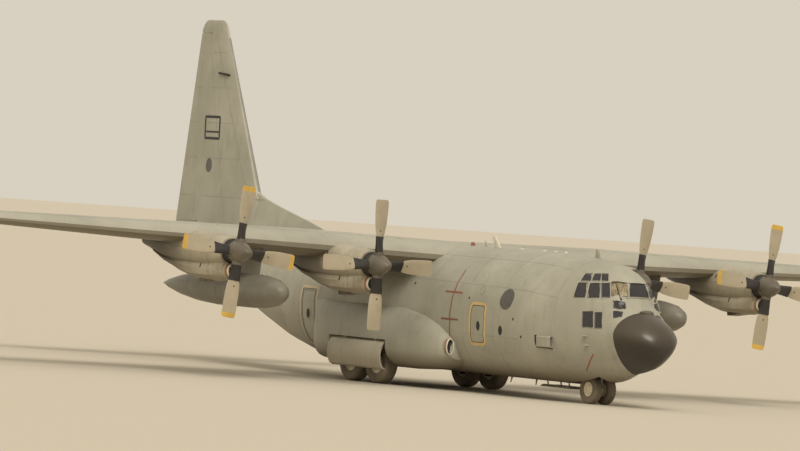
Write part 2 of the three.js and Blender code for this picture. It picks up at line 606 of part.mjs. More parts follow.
// Nacelle stations: x, half width, and bottom and top against the propeller's axis. The chin below the cowl
// holds the air intake and the oil cooler.
const COWL = [
  [4060, 420, -420, 420],
  [3960, 470, -470, 470],
  [3400, 560, -560, 520],
  [2600, 600, -620, 570],
  [1700, 600, -600, 600],
  [700, 550, -460, 570],
  [-300, 420, -150, 400],
  [-830, 300, -30, 290],
];
const CHIN = [
  [4080, 330, -860, -260],
  [3900, 380, -930, -200],
  [3300, 470, -960, -200],
  [2400, 520, -930, -200],
  [1500, 500, -740, -200],
  [700, 440, -500, -200],
  [-100, 330, -230, -50],
];
const INTAKE = { x: 4100, depth: 420, drop: 560, half: 250, tall: 190 };
const EXHAUST = { radius: 110, x: -830, depth: 200, rise: 100 };
const SHAFT = { radius: 110, front: 4110, back: 3930, clearance: 3.5 };

function nacelle({ name, y, z }, wingRoom) {
  const lofted = (rows, sides) =>
    loft(rows.map(([x, half, bottom, top]) => {
      const wide = z + (top + bottom) / 2;
      return bodyRing({ x, half, bottom: z + bottom, top: z + top, wide, crown: 2.2, belly: 2.3 }, 0, sides)
        .map((p) => new THREE.Vector3(p.x, p.y + y, p.z));
    }));
  const mouth = new THREE.CylinderGeometry(INTAKE.tall, INTAKE.tall * 0.85, INTAKE.depth, 12);
  mouth.rotateZ(-Math.PI / 2).scale(1, 1, INTAKE.half / INTAKE.tall);
  mouth.translate(INTAKE.x - INTAKE.depth / 2, y, z - INTAKE.drop);
  const pipeZ = z + EXHAUST.rise;
  const pipeEnds = [EXHAUST.x - 150, EXHAUST.x + EXHAUST.depth].map((x) => [x, y, pipeZ]);
  const pipe = bar(...pipeEnds, EXHAUST.radius, EXHAUST.radius * 0.9);
  const bearing = SHAFT.radius + SHAFT.clearance;
  const bore = bar([SHAFT.back - 15, y, z], [SHAFT.front, y, z], bearing, bearing, 16);
  const body = lofted(COWL, 14).add(lofted(CHIN, 12));
  addPart(`nacelle_${name}`, cut(body, [wingRoom, solidOf(mouth), pipe, bore]), LOOKS.darkGrey);
}

// One propeller: a spinner and four broad blades, with the first blade turned from upright.
// Blade stations: radius, chord, thickness, pitch in degrees.
const BLADE = [
  [300, 230, 190, 45],
  [640, 260, 115, 38],
  [880, 330, 82, 31],
  [1020, 420, 68, 27],
  [1300, 480, 52, 21],
  [1900, 500, 30, 13],
  [PROPELLER_RADIUS, 430, 14, 11],
];
const SPINNER = [[780, 0], [750, 90], [640, 185], [430, 295], [120, 385], [-380, 400]];

function propeller({ name, y, z, blade }) {
  const bladeRing = ([radius, chord, thickness, pitch]) =>
    Array.from({ length: 6 }, (_, i) => {
      const angle = (2 * Math.PI * i) / 6;
      const along = (chord / 2) * Math.cos(angle);
      const across = (thickness / 2) * Math.sin(angle);
      const turn = THREE.MathUtils.degToRad(pitch);
      return new THREE.Vector3(
        along * Math.sin(turn) + across * Math.cos(turn),
        -along * Math.cos(turn) + across * Math.sin(turn),
        radius,
      );
    });
  const shape = loft(BLADE.map(bladeRing), (p) => new THREE.Vector2(p.x, p.y));
  const profile = [...SPINNER, [-380, 0]].map(([x, r]) => new THREE.Vector2(r, x));
  const spinner = solidOf(new THREE.LatheGeometry(profile, 16).rotateZ(-Math.PI / 2));
  const blades = [0, 1, 2, 3].map((i) => shape.rotate([blade + 90 * i, 0, 0]));
  const shaft = bar([SHAFT.back, y, z], [SHAFT.front, y, z], SHAFT.radius);
  const turning = union([spinner, ...blades]).translate([PROPELLER_X, y, z]);
  addPart(`propeller_${name}`, turning.add(shaft), LOOKS.blade);
}

// External tank with its pylon, between the engines of each wing.
const TANK = { y: 7710, z: 2720, noseX: 3400 };
const TANK_PROFILE = [
  [0, 0], [60, 150], [230, 300], [560, 430], [1100, 515], [1900, 535], [3900, 535], [5000, 470], [6000, 330],
  [6900, 140], [7320, 0],
];
const PYLON = { front: 1750, back: -1150, half: 110 };

function tank(side, name, wingRoom) {
  const profile = TANK_PROFILE.map(([back, r]) => new THREE.Vector2(r, -back));
  const shell = solidOf(new THREE.LatheGeometry(profile, 16).rotateZ(-Math.PI / 2));
  const placed = shell.translate([TANK.noseX, side * TANK.y, TANK.z]);
  const { front, back, half } = PYLON;
  const outline = [
    [front, 0], [front - 500, half], [back + 900, half * 0.8],
    [back, 0], [back + 900, -half * 0.8], [front - 500, -half],
  ];
  const ring = (z, shift) => outline.map(([x, y]) => new THREE.Vector3(x + shift, side * TANK.y + y, z));
  const pylon = loft([ring(TANK.z, 0), ring(4300, 250)], (p) => new THREE.Vector2(p.x, p.y));
  addPart(`tank_${name}`, placed.add(pylon.subtract(wingRoom)), LOOKS.darkGrey);
}

// Main gear fairings. Stations: x, outer reach in Y, bottom, top, and how square the upper half is.
const FAIRING = [
  [4660, 2200, 980, 1620, 2.6],
  [4350, 2380, 820, 1900, 2.6],
  [3850, 2510, 700, 2160, 2.6],
  [3100, 2620, 620, 2400, 2.6],
  [1900, 2700, 570, 2600, 2.6],
  [-1800, 2700, 560, 2620, 2.6],
  [-2700, 2500, 585, 2620, 3.6],
  [-3340, 2200, 640, 2620, 7],
];

function fairing(side, name) {
  const rings = FAIRING.map(([x, reach, bottom, top, crown]) => {
    const inner = 1500;
    const wide = bottom + (top - bottom) * 0.45;
    const ring = bodyRing({ x, half: reach - inner, bottom, top, wide, crown, belly: 2.8 }, 0, 24);
    return ring.map((p) => new THREE.Vector3(p.x, side * (inner + p.y), p.z));
  });
  const solid = cut(loft(rings), [bodySolid(6000, -4400, -SEAM), mainWell(side)]);
  const largestFirst = solid.decompose().sort((a, b) => b.volume() - a.volume());
  addPart(`gear_fairing_${name}`, largestFirst[0], LOOKS.grey);
}

// Main gear door: a curved panel hanging outboard of the wheels on two links.
const GEAR_DOOR = { front: 1540, back: -1540, edgeY: 2560, bulge: 250, low: 470, high: 1400, thick: 45 };

function gearDoor(side) {
  const { front, back, edgeY, bulge, low, high, thick } = GEAR_DOOR;
  const arc = (inset) =>
    [0, 1, 2, 3, 4, 5, 6].map((step) => {
      const angle = (Math.PI * step) / 6;
      const reach = (high - low) / 2 - (inset ? 8 : 0);
      return [edgeY - inset + bulge * Math.sin(angle), (low + high) / 2 - reach * Math.cos(angle)];
    });
  const outline = [...arc(0), ...arc(thick).reverse()];
  const ring = (x) => outline.map(([y, z]) => new THREE.Vector3(x, side * y, z));
  const panel = loft([ring(front), ring(back)]);
  const brackets = [900, -900].map((x) =>
    block([x - 60, side * 2500, high - 40], [x + 60, side * 2590, MAIN_WELL.sideTop - SEAM]));
  return panel.add(union(brackets));
}

const MAIN_AXLE_RADIUS = 60;
// Main landing gear: two upright struts a side with an axle each, tied by a beam.
function mainLeg(side, name) {
  const strutY = side * 1800;
  const struts = [MAIN_WHEEL_X, -MAIN_WHEEL_X].flatMap((x) => [
    bar([x, strutY, MAIN_TYRE_RADIUS], [x, strutY, 1100], 75),
    bar([x, strutY, 1060], [x, strutY, MAIN_WELL.top - SEAM], 88),
    bar([x, side * 1730, MAIN_TYRE_RADIUS], [x, side * 2300, MAIN_TYRE_RADIUS], MAIN_AXLE_RADIUS),
    block([x - 80, side * 1735, MAIN_TYRE_RADIUS - 90], [x + 80, side * 1865, MAIN_TYRE_RADIUS + 90]),
  ]);
  const beam = block([MAIN_WHEEL_X, side * 1760, 1450], [-MAIN_WHEEL_X, side * 1840, 1560]);
  addPart(`main_gear_leg_${name}`, union([...struts, beam]), LOOKS.steel);
}

// Wheel profile: distance from the middle plane and radius, in shares of width and tyre radius.
const TYRE_PROFILE = [[0.4, 0.45], [0.5, 0.68], [0.44, 0.9], [0.22, 1]];
const RIM_PROFILE = [[0.36, 0.12], [0.36, 0.2], [0.18, 0.27]];

function wheelSolid(width, radius, bore, sides) {
  const half = [...RIM_PROFILE, ...TYRE_PROFILE].map(([side, r]) => [side * width, r * radius]);
  half[0][1] = bore;
  const outside = half.map(([side, r]) => new THREE.Vector2(r, side));
  const inside = half.toReversed().map(([side, r]) => new THREE.Vector2(r, -side));
  return solidOf(new THREE.LatheGeometry([...outside, ...inside, outside[0].clone()], sides));
}

const AXLE_CLEARANCE = 1.5;
function mainWheels() {
  for (const [side, sideName] of [[-1, "right"], [1, "left"]])
    for (const [x, endName] of [[MAIN_WHEEL_X, "front"], [-MAIN_WHEEL_X, "rear"]]) {
      const wheel = wheelSolid(MAIN_TYRE_WIDTH, MAIN_TYRE_RADIUS, MAIN_AXLE_RADIUS + AXLE_CLEARANCE, 24);
      const placed = wheel.translate([x, side * MAIN_WHEEL_Y, MAIN_TYRE_RADIUS]);
      addPart(`main_wheel_${endName}_${sideName}`, placed, LOOKS.tyre);
    }
}

// Nose gear: a fixed leg, a steering piston that turns in it, and twin wheels on one axle.
const NOSE_AXLE_RADIUS = 55;
function noseGear() {
  const top = DECK_TOP - 90 - SEAM;
  const leg = union([
    bar([NOSE_GEAR_X, 0, 1000], [NOSE_GEAR_X, 0, top], 95, 95, 14),
    bar([NOSE_GEAR_X - 60, 0, 1450], [NOSE_GEAR_X - 700, 0, top], 45, 45, 8),
    bar([NOSE_GEAR_X, -300, top - 120], [NOSE_GEAR_X, 300, top - 120], 55, 55, 10),
  ]);
  const legBore = bar([NOSE_GEAR_X, 0, 900], [NOSE_GEAR_X, 0, 1160], 52, 52, 24);
  const legTop = block([8900, -400, top], [10000, 400, top + 300]);
  addPart("nose_gear_leg", cut(leg, [legTop, legBore]), LOOKS.steel);
  const fork = union([
    bar([NOSE_GEAR_X, 0, 980], [NOSE_GEAR_X, 0, 1150], 50),
    bar([NOSE_GEAR_X, 0, NOSE_TYRE_RADIUS], [NOSE_GEAR_X, 0, 990], 62),
    bar([NOSE_GEAR_X, 0, 900], [NOSE_GEAR_X, 0, 990], 100, 100, 14),
    bar([NOSE_GEAR_X, -88, NOSE_TYRE_RADIUS], [NOSE_GEAR_X, 88, NOSE_TYRE_RADIUS], 110, 110, 14),
    block([NOSE_GEAR_X + 80, -35, 620], [NOSE_GEAR_X + 180, 35, 940]),
    block([NOSE_GEAR_X + 20, -35, 600], [NOSE_GEAR_X + 180, 35, 660]),
    block([NOSE_GEAR_X + 20, -35, 900], [NOSE_GEAR_X + 180, 35, 960]),
  ]);
  const alongAxle = (radius, sides) =>
    bar([NOSE_GEAR_X, -400, NOSE_TYRE_RADIUS], [NOSE_GEAR_X, 400, NOSE_TYRE_RADIUS], radius, radius, sides);
  const bore = alongAxle(NOSE_AXLE_RADIUS + AXLE_CLEARANCE, 24);
  addPart("nose_steering_strut", fork.subtract(bore), LOOKS.steel);
  const wheel = wheelSolid(NOSE_TYRE_WIDTH, NOSE_TYRE_RADIUS, NOSE_AXLE_RADIUS - 5, 20);
  const wheels = [-1, 1].map((side) => wheel.translate([NOSE_GEAR_X, side * NOSE_WHEEL_Y, NOSE_TYRE_RADIUS]));
  addPart("nose_wheels", union([alongAxle(NOSE_AXLE_RADIUS, 12), ...wheels]), LOOKS.tyre);
}

// Nose gear door: the rear door, slid back under the belly on four short links.
const NOSE_DOOR = { front: 8850, back: 6980, half: 420, low: 400, high: 440 };
function noseDoor() {
  const { front, back, half, low, high } = NOSE_DOOR;
  const outline = [
    [front, -half], [front, half], [back + 260, half],
    [back, half * 0.4], [back, -half * 0.4], [back + 260, -half],
  ];
  const plate = planPrism(outline, low, high);
  const links = [front - 250, back + 450].flatMap((x) => [-1, 1].map((side) =>
    bar([x, side * 250, high - 10], [x - 60, side * 250, 572], 22, 22, 6)));
  addPart("nose_gear_door", union([plate, ...links]).subtract(bodySolid(10000, 6000, -SEAM)), LOOKS.grey);
}

// Tail surfaces.
const TAILPLANE = { span: 16050, rootChord: 4150, tipChord: 2050, backX: -15600, z: 4400 };
const TAIL_SKIN = 38;
const tailplane = {
  chord: (y) => {
    const share = Math.abs(y) / (TAILPLANE.span / 2);
    return THREE.MathUtils.lerp(TAILPLANE.rootChord, TAILPLANE.tipChord, share);
  },
  thickness: () => 0.1,
  camber: 0,
  tilt: 0,
  flat: (p) => new THREE.Vector2(p.x, p.z),
  place: (y, back, up) => {
    const leading = TAILPLANE.backX + tailplane.chord(y) + 0.12 * (TAILPLANE.rootChord - tailplane.chord(y));
    return new THREE.Vector3(leading - back, y, TAILPLANE.z + up);
  },
};
const ELEVATOR_HINGE = 0.7;
const ELEVATOR_Y = [900, 7700];
const ELEVATOR_END_GAP = 30;

const FIN = {
  rootZ: 4560, topZ: 11280, rootLead: -10080, topLead: -13420, rootBack: -15980, topBack: -15090,
};
// Rounded cap: how far each ring shrinks, and its height above the fin's top.
const FIN_CAP = [[0, 0], [0.25, 150], [0.62, 270], [1, 320]];
const finShare = (z) => (z - FIN.rootZ) / (FIN.topZ - FIN.rootZ);
const finLead = (z) => THREE.MathUtils.lerp(FIN.rootLead, FIN.topLead, finShare(z));
const finBack = (z) => THREE.MathUtils.lerp(FIN.rootBack, FIN.topBack, finShare(z));
const fin = {
  chord: (z) => finLead(z) - finBack(z),
  thickness: (z) => THREE.MathUtils.lerp(0.115, 0.11, finShare(z)),
  camber: 0,
  tilt: 0,
  flat: (p) => new THREE.Vector2(p.x, p.y),
  place: (z, back, up) => new THREE.Vector3(finLead(z) - back, up, z),
};
const RUDDER_HINGE_X = -14380;
const RUDDER_Z = [4740, 11150];
const RUDDER_END_GAP = 20;
// Dorsal fin: x, ridge height, and half width at the body and along the ridge.
const DORSAL = [
  [-5900, 4590, 60, 20],
  [-7600, 5010, 170, 30],
  [-9300, 5390, 230, 45],
  [-10350, 5660, 250, 60],
  [-11000, 5900, 250, 80],
  [-11500, 5900, 240, 90],
];

// The rudder's hinge is upright while the fin tapers, so each height has its own share of chord.
const rudderShare = (z) => (finLead(z) - RUDDER_HINGE_X) / fin.chord(z);

function tailPieces(tailplaneRoom) {
  const bodyRoom = bodySolid(-4500, -16630, -SEAM);
  const middle = (FIN.topLead + FIN.topBack) / 2;
  const capRings = FIN_CAP.map(([shrink, up]) =>
    surfaceRing(fin, FIN.topZ).map((p) => {
      const x = THREE.MathUtils.lerp(p.x, middle, 0.42 * shrink);
      return new THREE.Vector3(x, p.y * (1 - 0.85 * shrink), FIN.topZ + up);
    }));
  const dorsal = loft(DORSAL.map(([x, ridge, foot, edge]) =>
    [[foot, 4400], [edge, ridge], [-edge, ridge], [-foot, 4400]].map(([y, z]) => new THREE.Vector3(x, y, z))));
  const main = surfaceSolid(fin, [FIN.rootZ, FIN.topZ]);
  const rudderLoft = (ring, gap) =>
    loft([RUDDER_Z[0] - gap, RUDDER_Z[1] + gap].map((z) => ring(fin, rudderShare(z), z)), fin.flat);
  const pins = (bore) => hingePins(fin, RUDDER_Z.map(rudderShare), RUDDER_Z, RUDDER_END_GAP, bore);
  const rudderRoom = rudderLoft(roomRing, RUDDER_END_GAP);
  const finBox = loft(
    [boxRing(fin, 4400, [0.1, 0.64], TAIL_SKIN), boxRing(fin, 11000, [0.14, 0.42], TAIL_SKIN)],
    fin.flat,
  );
  const whole = union([main, loft(capRings, fin.flat), dorsal]);
  addPart("fin", cut(whole, [rudderRoom, ...pins(true), bodyRoom, tailplaneRoom, finBox]), LOOKS.grey);
  addPart("rudder", union([rudderLoft(movingRing, 0), ...pins(false)]), LOOKS.grey);

  const half = TAILPLANE.span / 2;
  const plane = union([1, -1].map((side) => surfaceSolid(tailplane, [0, side * half])));
  const elevators = [1, -1].map((side) =>
    controlPiece(tailplane, ELEVATOR_HINGE, ELEVATOR_Y.map((y) => side * y), ELEVATOR_END_GAP));
  const boxes = [1, -1].map((side) => loft(
    [
      boxRing(tailplane, 0, [0.1, 0.6], TAIL_SKIN),
      boxRing(tailplane, side * (half - 400), [0.14, 0.56], TAIL_SKIN),
    ],
    tailplane.flat,
  ));
  const drain = block([-13600, -150, TAILPLANE.z - 400], [-13000, 150, TAILPLANE.z]);
  addPart("tailplane", cut(plane, [...elevators.flatMap((one) => one.rooms), ...boxes, drain]), LOOKS.grey);
  addPart("elevator_left", elevators[0].piece, LOOKS.grey);
  addPart("elevator_right", elevators[1].piece, LOOKS.grey);
}

// Flight deck furniture that shows through the glass.
function cockpitFurniture() {
  for (const [side, name] of [[-1, "copilot"], [1, "pilot"]]) {
    const y = side * 640;
    addPart(`${name}_seat`, union([
      block([9950, y - 230, DECK_TOP + SEAM], [10350, y + 230, 2330]),
      block([9880, y - 240, 2300], [10410, y + 240, 2440]),
      block([9830, y - 230, 2300], [9950, y + 230, 3080]),
      block([9845, y - 130, 3060], [9935, y + 130, 3280]),
    ]), LOOKS.seat);
  }
  const panel = union([
    block([10930, -820, 2400], [11040, 820, 3010]),
    block([10860, -840, 2990], [11080, 840, 3040]),
    block([10520, -190, DECK_TOP + SEAM], [10980, 190, 2560]),
  ]);
  addPart("instrument_panel", panel, LOOKS.seat);
}

const wingRoom = union([1, -1].map((side) =>
  surfaceSolid(wing, [0, WING.breakY, WING.tipY].map((y) => side * y), SEAM)));
const tailplaneRoom = union([1, -1].map((side) => surfaceSolid(tailplane, [0, side * 2000], SEAM)));
radome();
bodySections(wingRoom);
rearBody(surfaceSolid(fin, [4300, 5000], SEAM), tailplaneRoom);
wingPieces();
for (const engine of ENGINES) {
  nacelle(engine, wingRoom);
  propeller(engine);
}
for (const [side, name] of [[-1, "right"], [1, "left"]]) {
  tank(side, name, wingRoom);
  fairing(side, name);
  addPart(`main_gear_door_${name}`, gearDoor(side), LOOKS.grey);
  mainLeg(side, name);
}
mainWheels();
noseGear();
noseDoor();
tailPieces(tailplaneRoom);
cockpitFurniture();

// The model's origin is on the ground, midway along its length.
aircraft.position.x = (-MODEL_SCALE * (NOSE_TIP_X + TAIL_TIP_X)) / 2;
aircraft.scale.setScalar(MODEL_SCALE);

export default aircraft;
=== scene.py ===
# %% [markdown]
# # A four-engine transport plane, parked on its wheels
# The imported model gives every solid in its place, at half of the real size. This notebook
# adds what the solids cannot carry: paint that has stood in the sun, seams and rivets,
# tyres with tread, propeller blades with a true section, and the small fittings that only
# show from close by. Sizes are written in metres of the real machine, and one
# helper turns them into the model's own frame.

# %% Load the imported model
import math

import bmesh
import bpy
import numpy as np
from mathutils import Matrix, Vector
from mathutils.bvhtree import BVHTree


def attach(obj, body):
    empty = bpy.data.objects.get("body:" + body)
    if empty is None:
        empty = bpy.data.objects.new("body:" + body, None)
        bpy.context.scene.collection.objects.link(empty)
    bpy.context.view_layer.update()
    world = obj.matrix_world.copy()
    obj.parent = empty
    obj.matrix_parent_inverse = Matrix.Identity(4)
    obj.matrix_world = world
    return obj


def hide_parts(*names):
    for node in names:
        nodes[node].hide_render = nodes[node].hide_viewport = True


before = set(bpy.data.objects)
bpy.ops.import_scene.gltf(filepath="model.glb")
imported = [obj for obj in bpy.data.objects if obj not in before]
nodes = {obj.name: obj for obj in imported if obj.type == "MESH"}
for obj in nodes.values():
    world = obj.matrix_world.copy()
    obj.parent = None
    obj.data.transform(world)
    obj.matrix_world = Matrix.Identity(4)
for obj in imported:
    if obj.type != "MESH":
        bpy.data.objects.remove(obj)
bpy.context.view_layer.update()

# %% [markdown]
# The frame has the middle of the plane at zero, while the plane's own datum is on the
# ground under the middle of its main wheels. `spot` turns real metres from that datum
# into a point of the model, `size` does the same for a length, and `real` goes back.

# %% Real metres and model metres
MODEL_SCALE = 0.5
DATUM_SHIFT = 1.745


def spot(x, y, z):
    return Vector(((x + DATUM_SHIFT) * MODEL_SCALE, y * MODEL_SCALE, z * MODEL_SCALE))


def size(length):
    return length * MODEL_SCALE


def real(point):
    return Vector((point[0] / MODEL_SCALE - DATUM_SHIFT, point[1] / MODEL_SCALE, point[2] / MODEL_SCALE))


NOSE_TIP = (13.143, 0, 1.78)
print("the nose tip is at", tuple(round(v, 3) for v in spot(*NOSE_TIP)))

# %% [markdown]
# ## Camera
# The picture was taken from far off through a long lens, from ahead of the right wing,
# with the camera tipped a little. The camera here stands at that place and aims at the
# middle of the frame, so it needs no shift.

# %% Camera
AZIMUTH = math.radians(34.38)
DISTANCE = 213.8
WATCHED_STATION = 4
EYE_HEIGHT = 5.59
FOCAL_PIXELS = 6712
ROLL = math.radians(4.13)
AXIS_PIXEL = (505.4, 217.7)
FRAME_PIXELS = (800, 451)
SENSOR_WIDTH = 36
FAR_CLIP = 3000

level_ahead = Vector((-math.cos(AZIMUTH), math.sin(AZIMUTH), 0))
level_right = Vector((math.sin(AZIMUTH), math.cos(AZIMUTH), 0))
lens_right = level_right * math.cos(ROLL) + Vector((0, 0, math.sin(ROLL)))
lens_up = Vector((0, 0, math.cos(ROLL))) - level_right * math.sin(ROLL)
aim = (
    level_ahead
    + lens_right * ((FRAME_PIXELS[0] / 2 - AXIS_PIXEL[0]) / FOCAL_PIXELS)
    - lens_up * ((FRAME_PIXELS[1] / 2 - AXIS_PIXEL[1]) / FOCAL_PIXELS)
).normalized()
aim_right = aim.cross(lens_up).normalized()
turn = Matrix((aim_right, aim_right.cross(aim), -aim)).transposed().to_4x4()
eye = spot(WATCHED_STATION + DISTANCE * math.cos(AZIMUTH), -DISTANCE * math.sin(AZIMUTH), EYE_HEIGHT)

camera_data = bpy.data.cameras.new("photo_camera")
camera_data.sensor_width = SENSOR_WIDTH
camera_data.lens = FOCAL_PIXELS / FRAME_PIXELS[0] * SENSOR_WIDTH
camera_data.clip_end = FAR_CLIP
camera = bpy.data.objects.new("photo_camera", camera_data)
camera.matrix_world = Matrix.Translation(eye) @ turn
bpy.context.scene.collection.objects.link(camera)
bpy.context.scene.camera = camera
print("lens", round(camera_data.lens), "mm, from", round(size(DISTANCE)), "m off")

# %% [markdown]
# ## Stage
# A pale floor runs to the horizon under a pale sky that lights from all round, and one
# wide, soft lamp stands high ahead of the right wing, so that the nose, the cowls and the
# top are bright and the belly falls into shade, as under thin haze. A shader tree is
# easier to read when each node is made in one line, so two small helpers come first.

# %% Shader helpers
def material(name, rough=0.5, metal=0.0):
    made = bpy.data.materials.new(name)
    made.use_nodes = True
    shader = made.node_tree.nodes["Principled BSDF"]
    shader.inputs["Roughness"].default_value = rough
    shader.inputs["Metallic"].default_value = metal
    return made, made.node_tree, shader


def add(tree, kind, settings=None, values=None, links=None):
    """A node with its settings, its sockets' values and what is plugged into them."""
    made = tree.nodes.new(kind)
    for key, value in (settings or {}).items():
        setattr(made, key, value)
    for key, value in (values or {}).items():
        made.inputs[key].default_value = value
    for key, source in (links or {}).items():
        tree.links.new(source, made.inputs[key])
    return made


print("shader helpers:", material.__name__, "and", add.__name__)

# %% Floor, sky and lamp
FLOOR_REACH = 900
FLOOR_TONE = (0.60, 0.545, 0.45, 1)
SKY_TONE = (0.86, 0.79, 0.66, 1)
SKY_STRENGTH = 0.8
LAMP_STANDS = (0.62, -0.32, 0.72)
LAMP_STRENGTH = 1.8
LAMP_WIDTH = math.radians(30)
LAMP_TONE = (1, 0.95, 0.86)

floor_mesh = bpy.data.meshes.new("floor")
floor_corners = [(sx * FLOOR_REACH, sy * FLOOR_REACH, 0) for sx, sy in ((-1, -1), (1, -1), (1, 1), (-1, 1))]
floor_mesh.from_pydata(floor_corners, [], [(0, 1, 2, 3)])
floor = bpy.data.objects.new("floor", floor_mesh)
bpy.context.scene.collection.objects.link(floor)
floor_paint, _, floor_shader = material("pale_floor", rough=0.95)
floor_shader.inputs["Base Color"].default_value = FLOOR_TONE
floor_shader.inputs["Specular IOR Level"].default_value = 0.1
floor_mesh.materials.append(floor_paint)

haze = bpy.data.worlds.new("haze")
haze.use_nodes = True
haze.node_tree.nodes["Background"].inputs["Color"].default_value = SKY_TONE
haze.node_tree.nodes["Background"].inputs["Strength"].default_value = SKY_STRENGTH
bpy.context.scene.world = haze
lamp_data = bpy.data.lights.new("hazy_sun", "SUN")
lamp_data.energy = LAMP_STRENGTH
lamp_data.angle = LAMP_WIDTH
lamp_data.color = LAMP_TONE
lamp = bpy.data.objects.new("hazy_sun", lamp_data)
lamp.rotation_euler = Vector(LAMP_STANDS).to_track_quat("Z", "Y").to_euler()
bpy.context.scene.collection.objects.link(lamp)
bpy.context.scene.view_settings.view_transform = "Standard"
print("floor", 2 * FLOOR_REACH, "m across")

# %% [markdown]
# ## Paints
# The plane wears one satin grey that the sun has bleached unevenly: pale patches on top,
# grime that runs down the sides, and a belly darkened with painted shade. Every paint below
# is one recipe. A broad noise moves between a light and a dark tone, a stretched noise draws
# the runs, and a fine noise breaks up gloss and gives a faint ripple. A tone along one axis
# darkens what lies low or far aft: painted shade on the belly and on the radome's lower part,
# and the cowls darker towards the back. Another darker tone is painted shade on what faces
# the ground. Object coordinates carry the pattern, since every piece has its place in its mesh.

# %% Mixing tones
def mixed(tree, factor, low, high):
    """A colour between low and high. Each of the three is a value or a socket."""
    made = add(tree, "ShaderNodeMix", {"data_type": "RGBA"})
    for key, value in ((0, factor), (6, low), (7, high)):
        if hasattr(value, "links"):
            tree.links.new(value, made.inputs[key])
        else:
            made.inputs[key].default_value = value if key == 0 else (*value, 1)
    return made.outputs[2]


def ramp(tree, source, low, high):
    """0 below low, 1 above high, and a smooth step between."""
    made = add(
        tree, "ShaderNodeMapRange", {"interpolation_type": "SMOOTHSTEP"},
        {"From Min": low, "From Max": high}, {"Value": source},
    )
    return made.outputs[0]


print("two tones are mixed by a value or a socket")

# %% The recipe for paint
RIPPLE = 0.006
STAIN_SHARE = 0.62


def weathered_and_shaded(name, light, dark, rough=0.5, scale=1.0, runs=0.3, darkening_along_axis=None, metal=0.0, painted_shade_below=None):
    """Paint between two tones. runs is how strong the streaks are. A darker tone along one axis is
    given as (axis 0, 1 or 2, where it starts, where it is full, tone), and a tone of painted shade
    for what faces down may be given too."""
    made, tree, shader = material(name, rough, metal)
    place = add(tree, "ShaderNodeTexCoord").outputs["Object"]
    clouds = add(
        tree, "ShaderNodeTexNoise", None, {"Scale": 0.9 * scale, "Detail": 6, "Roughness": 0.6},
        {"Vector": place},
    )
    tone = mixed(tree, ramp(tree, clouds.outputs[0], 0.32, 0.68), dark, light)
    stretched = add(
        tree, "ShaderNodeMapping", None, {"Scale": (7 * scale, 7 * scale, 0.7 * scale)}, {"Vector": place}
    )
    run = add(
        tree, "ShaderNodeTexNoise", None, {"Scale": 1.4, "Detail": 4}, {"Vector": stretched.outputs[0]}
    )
    stain = tuple(STAIN_SHARE * v for v in dark)
    streaks = ramp(tree, run.outputs[0], 0.5, 0.78)
    strength = add(tree, "ShaderNodeMath", {"operation": "MULTIPLY"}, {1: runs}, {0: streaks})
    tone = mixed(tree, strength.outputs[0], tone, stain)
    # Painted shade: what faces down turns towards a darker tone.
    if painted_shade_below:
        facing = add(tree, "ShaderNodeTexCoord").outputs["Normal"]
        rise = add(tree, "ShaderNodeSeparateXYZ", None, None, {0: facing}).outputs[2]
        tone = mixed(tree, ramp(tree, rise, -0.2, -0.8), tone, painted_shade_below)
    # The tone darkens along one axis; on the belly and the radome this is painted shade.
    if darkening_along_axis:
        height = add(tree, "ShaderNodeSeparateXYZ", None, None, {0: place}).outputs[darkening_along_axis[0]]
        tone = mixed(tree, ramp(tree, height, darkening_along_axis[1], darkening_along_axis[2]), tone, darkening_along_axis[3])
    tree.links.new(tone, shader.inputs["Base Color"])
    fine = add(tree, "ShaderNodeTexNoise", None, {"Scale": 14 * scale, "Detail": 6}, {"Vector": place})
    gloss_range = {"To Min": rough - 0.1, "To Max": rough + 0.12}
    gloss = add(tree, "ShaderNodeMapRange", None, gloss_range, {"Value": fine.outputs[0]})
    tree.links.new(gloss.outputs[0], shader.inputs["Roughness"])
    bump = add(
        tree, "ShaderNodeBump", None, {"Strength": 0.25, "Distance": RIPPLE}, {"Height": fine.outputs[0]}
    )
    tree.links.new(bump.outputs[0], shader.inputs["Normal"])
    return made


print("ripples", RIPPLE, "high, stains at", STAIN_SHARE, "of the dark tone")
